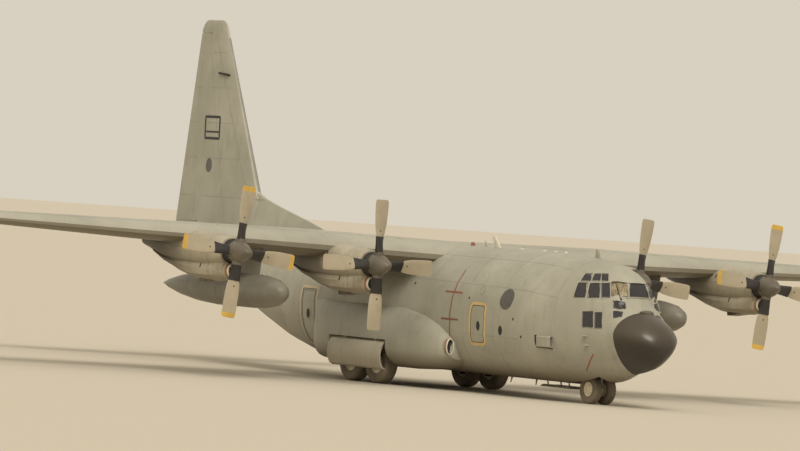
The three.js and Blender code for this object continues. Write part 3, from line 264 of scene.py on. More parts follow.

# %% The plane's paints
# Painted shade: the skin darkens towards the belly.
BELLY_PAINTED_SHADE = (2, 0.62, 0.3, (0.205, 0.17, 0.115))
# The cowls darken towards the back.
COWL_DARKER_AFT = (0, 2.3, 1.1, (0.075, 0.062, 0.043))
# Painted shade: the radome darkens towards its lower part.
RADOME_SHADE = (2, 1.17, 0.93, (0.03, 0.0235, 0.0155))
PAINTS = {
    "skin": weathered_and_shaded("sun_bleached_grey", (0.41, 0.395, 0.32), (0.33, 0.315, 0.25), 0.46, darkening_along_axis=BELLY_PAINTED_SHADE),
    # The wing is darker where it faces down: painted shade.
    "wing": weathered_and_shaded(
        "wing_grey", (0.425, 0.405, 0.335), (0.35, 0.335, 0.272), 0.46, runs=0.1, painted_shade_below=(0.2, 0.172, 0.122)
    ),
    # The cowls are darker where they face down, as painted shade, and darker towards the back.
    "cowl": weathered_and_shaded(
        "cowl_grey", (0.5, 0.45, 0.34), (0.37, 0.33, 0.243), 0.45, scale=1.8, runs=0.5, darkening_along_axis=COWL_DARKER_AFT,
        painted_shade_below=(0.3, 0.26, 0.188),
    ),
    "tank": weathered_and_shaded("tank_grey", (0.245, 0.23, 0.185), (0.19, 0.178, 0.14), 0.42, scale=1.4, runs=0.3),
    # The radome's lighter upper tone stands for a painted sheen above the painted shade on its lower part.
    "radome": weathered_and_shaded(
        "radome_black", (0.078, 0.062, 0.043), (0.055, 0.044, 0.03), 0.36, scale=1.2, runs=0.2,
        darkening_along_axis=RADOME_SHADE,
    ),
    "rubber": weathered_and_shaded(
        "dusty_tyre_rubber", (0.24, 0.195, 0.137), (0.155, 0.129, 0.091), 0.85, scale=4, runs=0.2
    ),
    "rim": weathered_and_shaded("wheel_cream", (0.9, 0.81, 0.6), (0.76, 0.68, 0.49), 0.5, scale=5, runs=0.4),
    "blade": weathered_and_shaded("blade_grey", (0.43, 0.37, 0.265), (0.37, 0.32, 0.225), 0.45, scale=3, runs=0.2),
    "cuff": weathered_and_shaded("cuff_black", (0.03, 0.027, 0.023), (0.018, 0.016, 0.014), 0.5, scale=4),
    "spinner": weathered_and_shaded("spinner_grey", (0.175, 0.152, 0.114), (0.118, 0.101, 0.076), 0.42, scale=3),
    "yellow": weathered_and_shaded("warning_yellow", (0.66, 0.42, 0.08), (0.52, 0.33, 0.07), 0.5, scale=5),
    "amber": weathered_and_shaded("rescue_amber", (0.68, 0.49, 0.2), (0.55, 0.39, 0.17), 0.5, scale=5),
    "red": weathered_and_shaded("warning_red_brown", (0.3, 0.11, 0.06), (0.21, 0.08, 0.05), 0.5, scale=5),
    "dark": weathered_and_shaded("dull_black", (0.03, 0.027, 0.023), (0.015, 0.014, 0.012), 0.6, scale=4),
    "steel": weathered_and_shaded("gear_silver", (0.42, 0.41, 0.37), (0.28, 0.27, 0.24), 0.38, scale=5, metal=0.5),
    "bare": weathered_and_shaded("scorched_steel", (0.2, 0.17, 0.13), (0.1, 0.085, 0.065), 0.4, scale=6, metal=0.8),
    "floor": weathered_and_shaded("deck_grey", (0.16, 0.155, 0.13), (0.11, 0.1, 0.085), 0.6, scale=3),
    "cloth": weathered_and_shaded("seat_olive", (0.06, 0.058, 0.035), (0.04, 0.038, 0.024), 0.9, scale=8),
    "panel": weathered_and_shaded("instrument_black", (0.03, 0.03, 0.03), (0.02, 0.02, 0.02), 0.5, scale=6),
    "seam": weathered_and_shaded("seam_shadow", (0.31, 0.296, 0.238), (0.245, 0.232, 0.184), 0.6, scale=4),
    "cowl_seam": weathered_and_shaded("cowl_seam_shadow", (0.26, 0.228, 0.166), (0.18, 0.157, 0.115), 0.6, scale=4),
    # The main gear doors get a lighter copy of the grey: painted light, for the shade they stand in.
    "door": weathered_and_shaded("gear_door_grey_painted_light", (0.52, 0.475, 0.37), (0.43, 0.39, 0.3), 0.46),
    "mark": weathered_and_shaded("mark_grey", (0.12, 0.115, 0.1), (0.09, 0.086, 0.075), 0.5, scale=4),
    "faded": weathered_and_shaded("faded_amber", (0.56, 0.47, 0.3), (0.47, 0.4, 0.26), 0.5, scale=5),
    "pale": weathered_and_shaded("antenna_white", (0.75, 0.7, 0.58), (0.62, 0.57, 0.46), 0.4, scale=6),
    "rust": weathered_and_shaded("scorched_orange", (0.38, 0.2, 0.085), (0.26, 0.13, 0.06), 0.5, scale=6),
    "lens": weathered_and_shaded("lamp_glass", (0.75, 0.74, 0.7), (0.65, 0.64, 0.6), 0.15, scale=6),
    "green": weathered_and_shaded("lamp_green", (0.03, 0.22, 0.12), (0.02, 0.16, 0.09), 0.2, scale=6),
    "boot": weathered_and_shaded("deicer_boot", (0.05, 0.046, 0.038), (0.035, 0.032, 0.027), 0.55, scale=4),
    "shade": weathered_and_shaded("shade_tan", (0.42, 0.36, 0.24), (0.36, 0.3, 0.2), 0.7, scale=5),
}
COATS = {"radome": 0.12, "boot": 0.2, "lens": 0.6, "green": 0.5}
for look, coat in COATS.items():
    PAINTS[look].node_tree.nodes["Principled BSDF"].inputs["Coat Weight"].default_value = coat
print(len(PAINTS), "paints")

# %% [markdown]
# ## The solids' own skins
# A solid arrives as loose flat triangles. Its mesh stays as it is, and a small node tree
# on top welds the corners and shades it smooth, except across real creases.

# %% Smooth shading as a node tree
def new_tree(name, *inputs):
    """A tree with named inputs, and the sockets that bring them in."""
    tree = bpy.data.node_groups.new(name, "GeometryNodeTree")
    tree.interface.new_socket("Geometry", in_out="OUTPUT", socket_type="NodeSocketGeometry")
    for label, kind in (("Geometry", "NodeSocketGeometry"), *inputs):
        tree.interface.new_socket(label, in_out="INPUT", socket_type=kind)
    given = add(tree, "NodeGroupInput").outputs
    return tree, given


def run_tree(piece, tree, **values):
    """Puts the tree on the piece and sets its named inputs, by the sockets' identifiers."""
    modifier = piece.modifiers.new(tree.name, "NODES")
    modifier.node_group = tree
    for item in tree.interface.items_tree:
        if item.in_out == "INPUT" and item.name in values:
            modifier[item.identifier] = values[item.name]


WELD = 2e-5
CREASE = 32

smooth_tree, given = new_tree("smooth_skin", ("Crease", "NodeSocketFloat"))
welded = add(smooth_tree, "GeometryNodeMergeByDistance", None, {"Distance": WELD}, {0: given[0]})
round_all = add(smooth_tree, "GeometryNodeSetShadeSmooth", {"domain": "FACE"}, None, {0: welded.outputs[0]})
bend = add(smooth_tree, "GeometryNodeInputMeshEdgeAngle").outputs[0]
crease = add(
    smooth_tree, "FunctionNodeCompare", {"operation": "GREATER_THAN"}, None, {0: bend, 1: given[1]}
)
keep = add(
    smooth_tree, "GeometryNodeSetShadeSmooth", {"domain": "EDGE"}, {"Shade Smooth": False},
    {0: round_all.outputs[0], "Selection": crease.outputs[0]},
)
add(smooth_tree, "NodeGroupOutput", None, None, {0: keep.outputs[0]})

for solid in nodes.values():
    run_tree(solid, smooth_tree, Crease=math.radians(CREASE))
print("smooth shading on", len(nodes), "solids")

# %% Which paint goes on which solid
LOOKS = {
    "radome": "radome", "cargo_floor": "floor", "flight_deck": "floor", "instrument_panel": "panel",
    "pilot_seat": "cloth", "copilot_seat": "cloth", "cockpit_glazing": "dark",
}
LOOK_OF_WORD = {
    "nacelle": "cowl", "tank": "tank", "main_gear_door": "door", "wheel": "rubber", "propeller": "blade",
    "gear_leg": "steel", "strut": "steel", "wing": "wing", "flap": "wing", "aileron": "wing",
    "tailplane": "wing", "elevator": "wing",
}
for word, look in LOOK_OF_WORD.items():
    for name in nodes:
        if word in name and name not in LOOKS:
            LOOKS[name] = look
for name, solid in nodes.items():
    solid.data.materials.clear()
    solid.data.materials.append(PAINTS[LOOKS.get(name, "skin")])
print({look: sum(v == look for v in LOOKS.values()) for look in set(LOOKS.values())})

# %% [markdown]
# ## Making pieces
# Most fittings are skins stretched over rings of points: a blade over its sections, a
# tyre over a turned profile. `piece` takes points in real metres, closes and cleans the
# mesh, gives it a paint and lets it ride on one body of the model.


def piece(name, points, faces, body, look, crease=35, stands_for=()):
    mesh = bpy.data.meshes.new(name)
    mesh.from_pydata([spot(*p) for p in points], [], faces)
    return finish_piece(name, mesh, body, look, crease, stands_for)


def finish_piece(name, mesh, body, look, crease=35, stands_for=()):
    shape = bmesh.new()
    shape.from_mesh(mesh)
    bmesh.ops.remove_doubles(shape, verts=shape.verts, dist=1e-6)
    bmesh.ops.recalc_face_normals(shape, faces=shape.faces)
    shape.to_mesh(mesh)
    shape.free()
    mesh.shade_smooth()
    mesh.set_sharp_from_angle(angle=math.radians(crease))
    mesh.materials.clear()
    mesh.materials.append(PAINTS[look])
    made = bpy.data.objects.new(name, mesh)
    bpy.context.scene.collection.objects.link(made)
    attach(made, body)
    if stands_for:
        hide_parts(*stands_for)
    return made


# %% Skins over rings of points
def stretch(rings, caps=True):
    """Points and faces of a skin over rings that all have the same count."""
    count = len(rings[0])
    points = [tuple(p) for ring in rings for p in ring]
    faces = [
        (r * count + i, r * count + (i + 1) % count, (r + 1) * count + (i + 1) % count, (r + 1) * count + i)
        for r in range(len(rings) - 1) for i in range(count)
    ]
    if caps:
        faces += [tuple(range(count))[::-1], tuple((len(rings) - 1) * count + i for i in range(count))]
    return points, faces


def joined(*parts):
    """Several (points, faces) as one."""
    points, faces = [], []
    for more_points, more_faces in parts:
        faces += [tuple(i + len(points) for i in face) for face in more_faces]
        points += list(more_points)
    return points, faces


def dress(name, parts, look, body="airframe", crease=30, stands_for=()):
    """Several parts as one piece that rides on one body."""
    return piece(name, *joined(*parts), body, look, crease, stands_for)


print("a tube over two squares has", len(stretch([[(0, 0, 0)] * 4] * 2)[1]), "faces")


# %% Turned shapes, boxes and pipes
def full_turn(count):
    return np.linspace(0, 2 * math.pi, count, endpoint=False)


def turned(profile, centre, axis, count=48, caps=True):
    """A profile of (distance along the axis, radius) turned round an axis that is "x", "y" or "z"."""
    rings = []
    for along, radius in profile:
        ring = []
        for angle in full_turn(count):
            a, b = radius * math.cos(angle), radius * math.sin(angle)
            offset = {"x": (along, a, b), "y": (a, along, b), "z": (a, b, along)}[axis]
            ring.append([c + o for c, o in zip(centre, offset)])
        rings.append(ring)
    return stretch(rings, caps)


def box(low, high):
    corners = [(x, y, z) for x in (low[0], high[0]) for y in (low[1], high[1]) for z in (low[2], high[2])]
    return corners, [(0, 1, 3, 2), (4, 6, 7, 5), (0, 4, 5, 1), (2, 3, 7, 6), (0, 2, 6, 4), (1, 5, 7, 3)]


def pipe(path, radius, count=10):
    """A round pipe along a path of points."""
    path = [Vector(p) for p in path]
    rings = []
    for i, here in enumerate(path):
        along = (path[min(i + 1, len(path) - 1)] - path[max(i - 1, 0)]).normalized()
        aside = along.cross(Vector((0, 0, 1)) if abs(along.z) < 0.9 else Vector((1, 0, 0))).normalized()
        over = aside.cross(along)
        rings.append([here + radius * (math.cos(t) * aside + math.sin(t) * over) for t in full_turn(count)])
    return stretch(rings)


print("a turned disc of four steps has", len(turned([(0, 1), (1, 1)], (0, 0, 0), "x", 4)[0]), "points")

# %% [markdown]
# ## Propellers
# Each propeller has four broad, square-tipped blades. A blade twists from root to tip and
# goes from a round shank to a thin wing section, so it is stretched over many sections
# that are read off one table. The black cuff is a thicker rubber boot round the lower
# blade, with a table of its own. The outer pair of propellers has yellow tips, and blade
# and tip are one shape cut at a radius, which keeps their edges flush.

# %% Sections of a blade
# Each engine: its place across, its height, and how far its blades are turned, in degrees.
ENGINES = {
    "1": (10.21, 3.94, -6.5), "2": (5.03, 3.82, -6.5), "3": (-5.03, 3.82, 0), "4": (-10.21, 3.94, -6.5),
}
HUB_X = 4.48
BLADE_END = 2.056
# Each row of the two tables: radius, chord and thickness in metres, and pitch in degrees.
BLADE_TABLE = np.array([
    [0.30, 0.225, 0.186, 34], [0.64, 0.255, 0.112, 25], [0.88, 0.325, 0.080, 18], [1.02, 0.412, 0.066, 14],
    [1.30, 0.474, 0.050, 8], [1.60, 0.492, 0.040, 4], [1.90, 0.494, 0.029, 1.5], [1.98, 0.482, 0.024, 1],
    [2.03, 0.450, 0.018, 1], [2.050, 0.400, 0.013, 1], [BLADE_END, 0.330, 0.009, 1],
])
CUFF_TABLE = np.array([
    [0.30, 0.300, 0.250, 34], [0.50, 0.325, 0.230, 29], [0.64, 0.345, 0.200, 25], [0.80, 0.370, 0.155, 20],
    [0.90, 0.385, 0.125, 18],
])
CUFF_START, CUFF_END = 0.31, 0.90
TIP_COAT = 0.0006
TIP_START = {"1": 1.90, "2": BLADE_END, "3": BLADE_END, "4": 1.90}


def blade_section(radius, table=BLADE_TABLE, grow=0.0, count=28):
    """A ring round an upright blade at a radius, grown outwards by grow."""
    chord, thick, pitch = (np.interp(radius, table[:, 0], table[:, k]) for k in (1, 2, 3))
    winglike = np.clip((radius - 0.5) / 0.35, 0, 1)
    turn = math.radians(pitch)
    ring = []
    for angle in full_turn(count):
        back = (1 - math.cos(angle)) / 2
        foil = 2.97 * math.sqrt(back) - 1.26 * back - 3.516 * back**2 + 2.843 * back**3 - 1.015 * back**4
        bulge = foil * (0.75 if math.sin(angle) < 0 else 1.0)
        half = (1 - winglike) * abs(math.sin(angle)) + winglike * bulge
        across = (thick / 2 + grow) * half * (-1 if math.sin(angle) < 0 else 1)
        along = (chord / 2 + grow) * math.cos(angle)
        ring.append((
            along * math.sin(turn) + across * math.cos(turn),
            -along * math.cos(turn) + across * math.sin(turn),
            radius,
        ))
    return ring


print("a section has", len(blade_section(1.0)), "points")


# %% Blades
def on_four_blades(engine, sections):
    """Rings drawn on an upright blade about the hub, stretched and placed on all four blades."""
    y, z, lead = ENGINES[engine]
    parts = []
    for quarter in range(4):
        spin = math.radians(lead + 90 * quarter)
        cos, sin = math.cos(spin), math.sin(spin)
        rings = [
            [(HUB_X + px, y + py * cos - pz * sin, z + py * sin + pz * cos) for px, py, pz in ring]
            for ring in sections
        ]
        parts.append(stretch(rings))
    return joined(*parts)


def four_blades(engine, start, stop, steps, table=BLADE_TABLE, grow=0.0):
    """All four blades of a propeller, from one radius to another."""
    inside = [r for r in table[:, 0] if start < r < stop]
    radii = sorted({*np.round(np.linspace(start, stop, steps), 4), *inside})
    return on_four_blades(engine, [blade_section(r, table, grow) for r in radii])


def blade_marks(engine):
    """A small dark dab on the front face of each blade, just above its boot."""
    sections = [(blade_section(r, grow=0.002), blade_section(r, grow=-0.004)) for r in (1.05, 1.075, 1.10)]
    return on_four_blades(engine, [proud[6:8] + sunk[6:8][::-1] for proud, sunk in sections])


for engine in ENGINES:
    body = f"propeller_{engine}"
    tip = TIP_START[engine]
    piece(f"blades_{engine}", *four_blades(engine, CUFF_END, tip, 14), body, "blade", stands_for=[body])
    piece(f"blade_cuffs_{engine}", *four_blades(engine, CUFF_START, CUFF_END, 10, CUFF_TABLE), body, "cuff")
    piece(f"blade_marks_{engine}", *blade_marks(engine), body, "boot")
    if tip < BLADE_END:
        tips = four_blades(engine, tip, BLADE_END, 5, grow=TIP_COAT)
        piece(f"blade_tips_{engine}", *tips, body, "yellow")
print("four propellers, cuffs to", CUFF_END, "m")

# %% [markdown]
# The spinner is a small blunt cone that is turned in one go. A groove marks where its shell
# splits, a collar stands round each blade's root, and a black afterbody behind it closes
# the gap to the cowl, where a short shaft runs in.

# %% Spinners
# Profiles of (distance ahead of the hub, radius).
SPINNER_PROFILE = [
    (0.622, 0.002), (0.615, 0.028), (0.590, 0.060), (0.550, 0.100), (0.500, 0.143), (0.440, 0.188),
    (0.350, 0.242), (0.250, 0.289), (0.150, 0.322), (0.125, 0.328), (0.120, 0.323), (0.110, 0.323),
    (0.105, 0.331), (-0.02, 0.343), (-0.10, 0.345), (-0.105, 0.339), (-0.105, 0.002),
]
AFTERBODY_PROFILE = [
    (-0.10, 0.002), (-0.10, 0.337), (-0.2, 0.345), (-0.25, 0.349), (-0.26, 0.342), (-0.27, 0.352),
    (-0.335, 0.366), (-0.340, 0.384), (-0.374, 0.386), (-0.378, 0.380), (-0.378, 0.11), (-0.54, 0.108),
    (-0.54, 0.002),
]
# Steps of a collar: where it starts and ends from the hub, and its radius.
COLLAR_STEPS = ((0.30, 0.385, 0.165), (0.385, 0.415, 0.152))
for engine, (y, z, lead) in ENGINES.items():
    body = f"propeller_{engine}"
    piece(f"spinner_{engine}", *turned(SPINNER_PROFILE, (HUB_X, y, z), "x", 56), body, "spinner")
    piece(f"spinner_afterbody_{engine}", *turned(AFTERBODY_PROFILE, (HUB_X, y, z), "x", 56), body, "cuff")
    collars = []
    for quarter in range(4):
        spin = math.radians(lead + 90 * quarter)
        out = Vector((0, -math.sin(spin), math.cos(spin)))
        root = Vector((HUB_X, y, z))
        for low, high, radius in COLLAR_STEPS:
            ends = [root + out * low, root + out * high]
            collars.append(pipe(ends, radius, 24))
    dress(f"blade_collars_{engine}", collars, "spinner", body, 35)
print("spinners turned from", len(SPINNER_PROFILE), "points")

# %% [markdown]
# ## Wheels
# A tyre is a turned profile with grooves round the tread, and the wheel inside it is a
# cream dish with a ring of bolts. One profile, in shares of width and radius, serves the
# big main wheels and the small nose pair. The bolts repeat, so a node tree instances
# them on a circle, makes them real and gives them their paint.

# %% Tyre and rim profiles
# Points of (share of the width, share of the radius).
TYRE = [
    (0.300, 0.470), (0.345, 0.478), (0.395, 0.520), (0.445, 0.590), (0.483, 0.670), (0.498, 0.750),
    (0.492, 0.830), (0.462, 0.905), (0.405, 0.955), (0.340, 0.982), (0.270, 0.993), (0.262, 0.972),
    (0.236, 0.972), (0.228, 0.996), (0.100, 1.000), (0.092, 0.978), (0.066, 0.978), (0.058, 1.000),
]
RIM = [
    (0.375, 0.500), (0.392, 0.486), (0.385, 0.462), (0.350, 0.448), (0.300, 0.436), (0.262, 0.395),
    (0.250, 0.330), (0.256, 0.250), (0.300, 0.225), (0.318, 0.150), (0.322, 0.060), (0.322, 0.004),
]
INNER_RIM = [(0.375, 0.500), (0.392, 0.486), (0.380, 0.455), (0.300, 0.430), (0.120, 0.415), (0.120, 0.004)]


TYRE_POINTS = 72


def tyre(centre, width, radius):
    half = [(a * width, r * radius) for a, r in TYRE]
    ring = half + [(-a, r) for a, r in half[::-1]]
    points, faces = turned(ring, centre, "y", TYRE_POINTS, caps=False)
    last = (len(ring) - 1) * TYRE_POINTS
    for i in range(TYRE_POINTS):
        after = (i + 1) % TYRE_POINTS
        faces.append((last + i, last + after, after, i))
    return points, faces


def rim(centre, width, radius, out):
    """out is 1 or -1, the side on which the dish shows."""
    dish = [(out * a * width, r * radius) for a, r in RIM[::-1]]
    back = [(-out * a * width, r * radius) for a, r in INNER_RIM]
    return turned(dish + back, centre, "y", 48)


print("tyre profile of", 2 * len(TYRE), "points")

# %% Bolts as a node tree
bolt_tree, given = new_tree(
    "bolt_circle", ("Count", "NodeSocketInt"), ("Circle", "NodeSocketFloat"), ("Head", "NodeSocketFloat"),
    ("Height", "NodeSocketFloat"), ("Paint", "NodeSocketMaterial"),
)
circle = add(
    bolt_tree, "GeometryNodeMeshCircle", None, None, {"Vertices": given["Count"], "Radius": given["Circle"]}
)
head = add(
    bolt_tree, "GeometryNodeMeshCylinder", None, {"Vertices": 6},
    {"Radius": given["Head"], "Depth": given["Height"]},
)
bolts = add(
    bolt_tree, "GeometryNodeInstanceOnPoints", None, None,
    {"Points": circle.outputs[0], "Instance": head.outputs[0]},
)
solid_bolts = add(bolt_tree, "GeometryNodeRealizeInstances", None, None, {0: bolts.outputs[0]})
painted = add(
    bolt_tree, "GeometryNodeSetMaterial", None, None,
    {0: solid_bolts.outputs[0], "Material": given["Paint"]},
)
add(bolt_tree, "NodeGroupOutput", None, None, {0: painted.outputs[0]})


def tree_mesh(name, tree, start=None, **values):
    """The plain mesh that a tree makes, without the modifier."""
    mesh = start or bpy.data.meshes.new(name)
    holder = bpy.data.objects.new(name + "_source", mesh)
    bpy.context.scene.collection.objects.link(holder)
    run_tree(holder, tree, **values)
    bpy.context.view_layer.update()
    made = bpy.data.meshes.new_from_object(holder.evaluated_get(bpy.context.evaluated_depsgraph_get()))
    bpy.data.objects.remove(holder)
    return made


def bolt_ring(name, centre, count, circle_radius, head_radius, body, look, height=0.02):
    """Bolt heads on a circle about an axle, which runs along Y."""
    mesh = tree_mesh(
        name, bolt_tree, Count=count, Circle=size(circle_radius), Head=size(head_radius),
        Height=size(height), Paint=PAINTS[look],
    )
    lay = Matrix.Rotation(math.radians(90), 4, "X")
    mesh.transform(Matrix.Translation(spot(*centre)) @ lay)
    return finish_piece(name, mesh, body, look, 30)


print("the bolts' tree has", len(bolt_tree.nodes), "nodes")

# %% Main wheels
BOLT_FACE = 0.262
CAP_FACE = 0.325
MAIN_WHEEL = {"x": 0.762, "y": 2.175, "radius": 0.65, "width": 0.5}
for end, x in (("front", MAIN_WHEEL["x"]), ("rear", -MAIN_WHEEL["x"])):
    for hand, out in (("left", 1), ("right", -1)):
        body = f"main_wheel_{end}_{hand}"
        centre = (x, out * MAIN_WHEEL["y"], MAIN_WHEEL["radius"])
        width, radius = MAIN_WHEEL["width"], MAIN_WHEEL["radius"]
        piece(f"main_tyre_{end}_{hand}", *tyre(centre, width, radius), body, "rubber", 28, [body])
        piece(f"main_rim_{end}_{hand}", *rim(centre, width, radius, out), body, "rim", 28)
        face = (x, centre[1] + out * BOLT_FACE * width, centre[2])
        bolt_ring(f"main_wheel_bolts_{end}_{hand}", face, 9, 0.30 * radius, 0.018, body, "steel")
        cap = (x, centre[1] + out * CAP_FACE * width, centre[2])
        bolt_ring(f"hub_bolts_{end}_{hand}", cap, 6, 0.10 * radius, 0.010, body, "steel", 0.012)
print("main wheels", MAIN_WHEEL)

# %% Nose wheels
NOSE_WHEEL = {"x": 9.77, "y": 0.265, "radius": 0.455, "width": 0.3}
axle_x, track, radius, width = NOSE_WHEEL.values()
tyres, rims = [], []
for hand, out in (("left", 1), ("right", -1)):
    centre = (axle_x, out * track, radius)
    tyres.append(tyre(centre, width, radius))
    rims.append(rim(centre, width, radius, out))
    face = (axle_x, centre[1] + out * BOLT_FACE * width, radius)
    bolt_ring(f"nose_wheel_bolts_{hand}", face, 8, 0.14, 0.013, "nose_wheels", "steel", 0.014)
rims.append(pipe([(axle_x, -0.2, radius), (axle_x, 0.2, radius)], 0.053, 24))
dress("nose_tyres", tyres, "rubber", "nose_wheels", 28, stands_for=["nose_wheels"])
dress("nose_rims", rims, "rim", "nose_wheels", 28)
print("nose wheels", NOSE_WHEEL)

# %% [markdown]
# ## Finding the skin
# Windows, seams, stripes and fittings all sit on the body's own surface. A tree of the
# solids' triangles answers where a ray from outside meets them, so nothing floats and
# nothing sinks, whatever the shape is there.

# %% Rays onto the solids
def ray_tree(*names):
    """The triangles of some solids, ready for rays."""
    points, faces = [], []
    for name in names:
        mesh = nodes[name].data
        faces += [tuple(i + len(points) for i in p.vertices) for p in mesh.polygons]
        points += [v.co.copy() for v in mesh.vertices]
    return BVHTree.FromPolygons(points, faces)


def meet(tree, start, direction):
    """Where a ray in real metres meets the skin, with the skin's outward direction, or None."""
    way = Vector(direction).normalized()
    hit, normal, _, _ = tree.ray_cast(spot(*start), way)
    if hit is None:
        return None
    return real(hit), (normal if normal.dot(way) < 0 else -normal)


BODY_SOLIDS = (
    "radome", "forward_fuselage", "centre_fuselage", "aft_fuselage", "crew_door",
    "paratroop_door_left", "paratroop_door_right", "cargo_ramp", "aft_cargo_door",
)
body_rays = ray_tree(*BODY_SOLIDS)
outer_rays = ray_tree(*BODY_SOLIDS, "gear_fairing_left", "gear_fairing_right")
wing_rays = ray_tree("wing_centre", "wing_outer_left", "wing_outer_right")
flank, _ = meet(body_rays, (2, -6, 3), (0, 1, 0))
print("the skin beside the wing root is at y", round(flank.y, 3))

# %% [markdown]
# ## Cockpit windows
# The panes follow the nose's double curve. Each one is a rounded four-sided outline in
# its own flat plane, raised onto a smooth hill that is fitted to rays on the skin round
# it. Two outlines, one larger and one smaller, make the frame, and the pane is nested
# rings of the small one. The panes stand for the solid glass, which has sharp corners.

# %% Window corners, on the left side
# Each window: front top, back top, back bottom and front bottom.
WINDOWS = {
    "front": [
        (11.420, 0.350, 3.850), (11.050, 0.660, 3.840), (11.330, 0.830, 3.420), (11.610, 0.430, 3.430),
    ],
    "quarter": [
        (11.010, 0.715, 3.810), (10.810, 0.870, 3.790), (11.050, 1.000, 3.350), (11.290, 0.885, 3.370),
    ],
    "side_2": [
        (10.740, 0.905, 3.790), (10.430, 1.105, 3.760), (10.660, 1.225, 3.310), (10.990, 1.035, 3.340),
    ],
    "side_3": [
        (10.360, 1.140, 3.760), (9.990, 1.315, 3.730), (10.240, 1.440, 3.280), (10.590, 1.260, 3.310),
    ],
    "upper_1": [
        (10.740, 0.600, 4.080), (10.590, 0.730, 4.070), (10.760, 0.850, 3.870), (10.930, 0.730, 3.880),
    ],
    "upper_2": [
        (10.540, 0.750, 4.070), (10.300, 0.890, 4.050), (10.500, 1.010, 3.850), (10.710, 0.870, 3.860),
    ],
    "upper_3": [
        (10.250, 0.910, 4.040), (9.970, 1.050, 4.020), (10.160, 1.170, 3.830), (10.440, 1.040, 3.840),
    ],
    "chin_1": [
        (11.760, 0.760, 3.290), (11.460, 0.860, 3.280), (11.550, 0.905, 3.070), (11.820, 0.770, 3.090),
    ],
    "chin_2": [
        (11.830, 0.775, 2.980), (11.590, 0.915, 2.960), (11.690, 0.975, 2.780), (11.860, 0.800, 2.800),
    ],
    "low_1": [
        (11.230, 1.090, 2.880), (11.020, 1.185, 2.860), (11.110, 1.220, 2.400), (11.330, 1.130, 2.410),
    ],
    "low_2": [
        (10.930, 1.230, 2.890), (10.640, 1.395, 2.860), (10.710, 1.410, 2.400), (11.020, 1.250, 2.420),
    ],
}
CENTRE_WINDOW = [
    (11.480, -0.290, 3.860), (11.480, 0.290, 3.860), (11.620, 0.350, 3.450), (11.620, -0.350, 3.450),
]


def on_both_sides(windows):
    """The windows of the left side with their mirror images and the one in the middle."""
    found = {"centre": CENTRE_WINDOW}
    for name, corners in windows.items():
        found[name + "_left"] = corners
        found[name + "_right"] = [(x, -y, z) for x, y, z in corners]
    return found


window_corners = on_both_sides(WINDOWS)
print(len(window_corners), "windows")


# %% A hill fitted to the skin
CABIN_MIDDLE = Vector((9.8, 0, 2.6))
STRAY = 0.11


def fitted_hill(corners, tree):
    """Two functions for a window: one flattens a point into its plane, and the other lifts a
    flat point onto the skin."""
    points = [Vector(c) for c in corners]
    centre = sum(points, Vector()) / 4
    normal = (points[0] - points[2]).cross(points[1] - points[3]).normalized()
    if normal.dot(centre - CABIN_MIDDLE) < 0:
        normal = -normal
    along = (points[1] - points[0]).normalized()
    along = (along - normal * along.dot(normal)).normalized()
    over = normal.cross(along)

    def flatten(point):
        return Vector(((Vector(point) - centre).dot(along), (Vector(point) - centre).dot(over)))

    flat = [flatten(p) for p in points]
    rows, heights = [], []
    for s in np.linspace(-0.35, 1.35, 9):
        for t in np.linspace(-0.35, 1.35, 9):
            shares = ((1 - s) * (1 - t), s * (1 - t), s * t, (1 - s) * t)
            a, b = [sum(share * corner[k] for share, corner in zip(shares, flat)) for k in (0, 1)]
            found = meet(tree, centre + along * a + over * b + normal * 0.6, -normal)
            if found and abs((found[0] - centre).dot(normal)) < STRAY:
                rows.append((1, a, b, a * a, a * b, b * b))
                heights.append((found[0] - centre).dot(normal))
    fit = np.linalg.lstsq(np.array(rows), np.array(heights), rcond=None)[0]

    def lift(a, b, rise=0.0):
        height = float(np.dot(fit, (1, a, b, a * a, a * b, b * b)))
        return centre + along * a + over * b + normal * (height + rise)

    return flatten, lift


print("rays that stray over", STRAY, "m from a window's plane are left out")


# %% Outlines with round corners
def corner_reach(before, here, after, radius):
    """How far from a corner its arc starts on either side."""
    back, ahead = before - here, after - here
    half = back.normalized().angle(ahead.normalized()) / 2
    return min(radius / math.tan(half), 0.45 * min(back.length, ahead.length))


def rounded_outline(flat, grow, radius, arc=6, side=5):
    """The outline moved out by grow, with round corners, as points that run once round."""
    count = len(flat)
    area = sum(a[0] * b[1] - b[0] * a[1] for a, b in zip(flat, flat[1:] + flat[:1]))
    corners = flat if area > 0 else flat[::-1]
    shifted = []
    for i, here in enumerate(corners):
        before = (here - corners[i - 1]).normalized()
        after = (corners[(i + 1) % count] - here).normalized()
        out_before, out_after = Vector((before.y, -before.x)), Vector((after.y, -after.x))
        shifted.append(here + (out_before + out_after) * (grow / (1 + out_before.dot(out_after))))
    outline = []
    for i, here in enumerate(shifted):
        before, after, second = shifted[i - 1], shifted[(i + 1) % count], shifted[(i + 2) % count]
        reach = corner_reach(before, here, after, radius)
        first, last = [here + (end - here).normalized() * reach for end in (before, after)]
        for step in range(arc + 1):
            t = step / arc
            outline.append((1 - t) ** 2 * first + 2 * t * (1 - t) * here + t * t * last)
        stop = after - (after - here).normalized() * corner_reach(here, after, second, radius)
        outline += [last.lerp(stop, k / side) for k in range(1, side)]
    return outline


square = [Vector((x, y)) for x, y in ((0, 0), (1, 0), (1, 1), (0, 1))]
print("a rounded square has", len(rounded_outline(square, 0.0, 0.1)), "points")

# %% [markdown]
# Glass looks dark because the cabin behind it is dark, so the panes are tinted and mostly
# see-through. Each frame covers the opening's edge and closes in on the pane, and a thin
# black seal runs between them. The pane on the right of the middle one is clear and has a
# tan sun shade behind it.

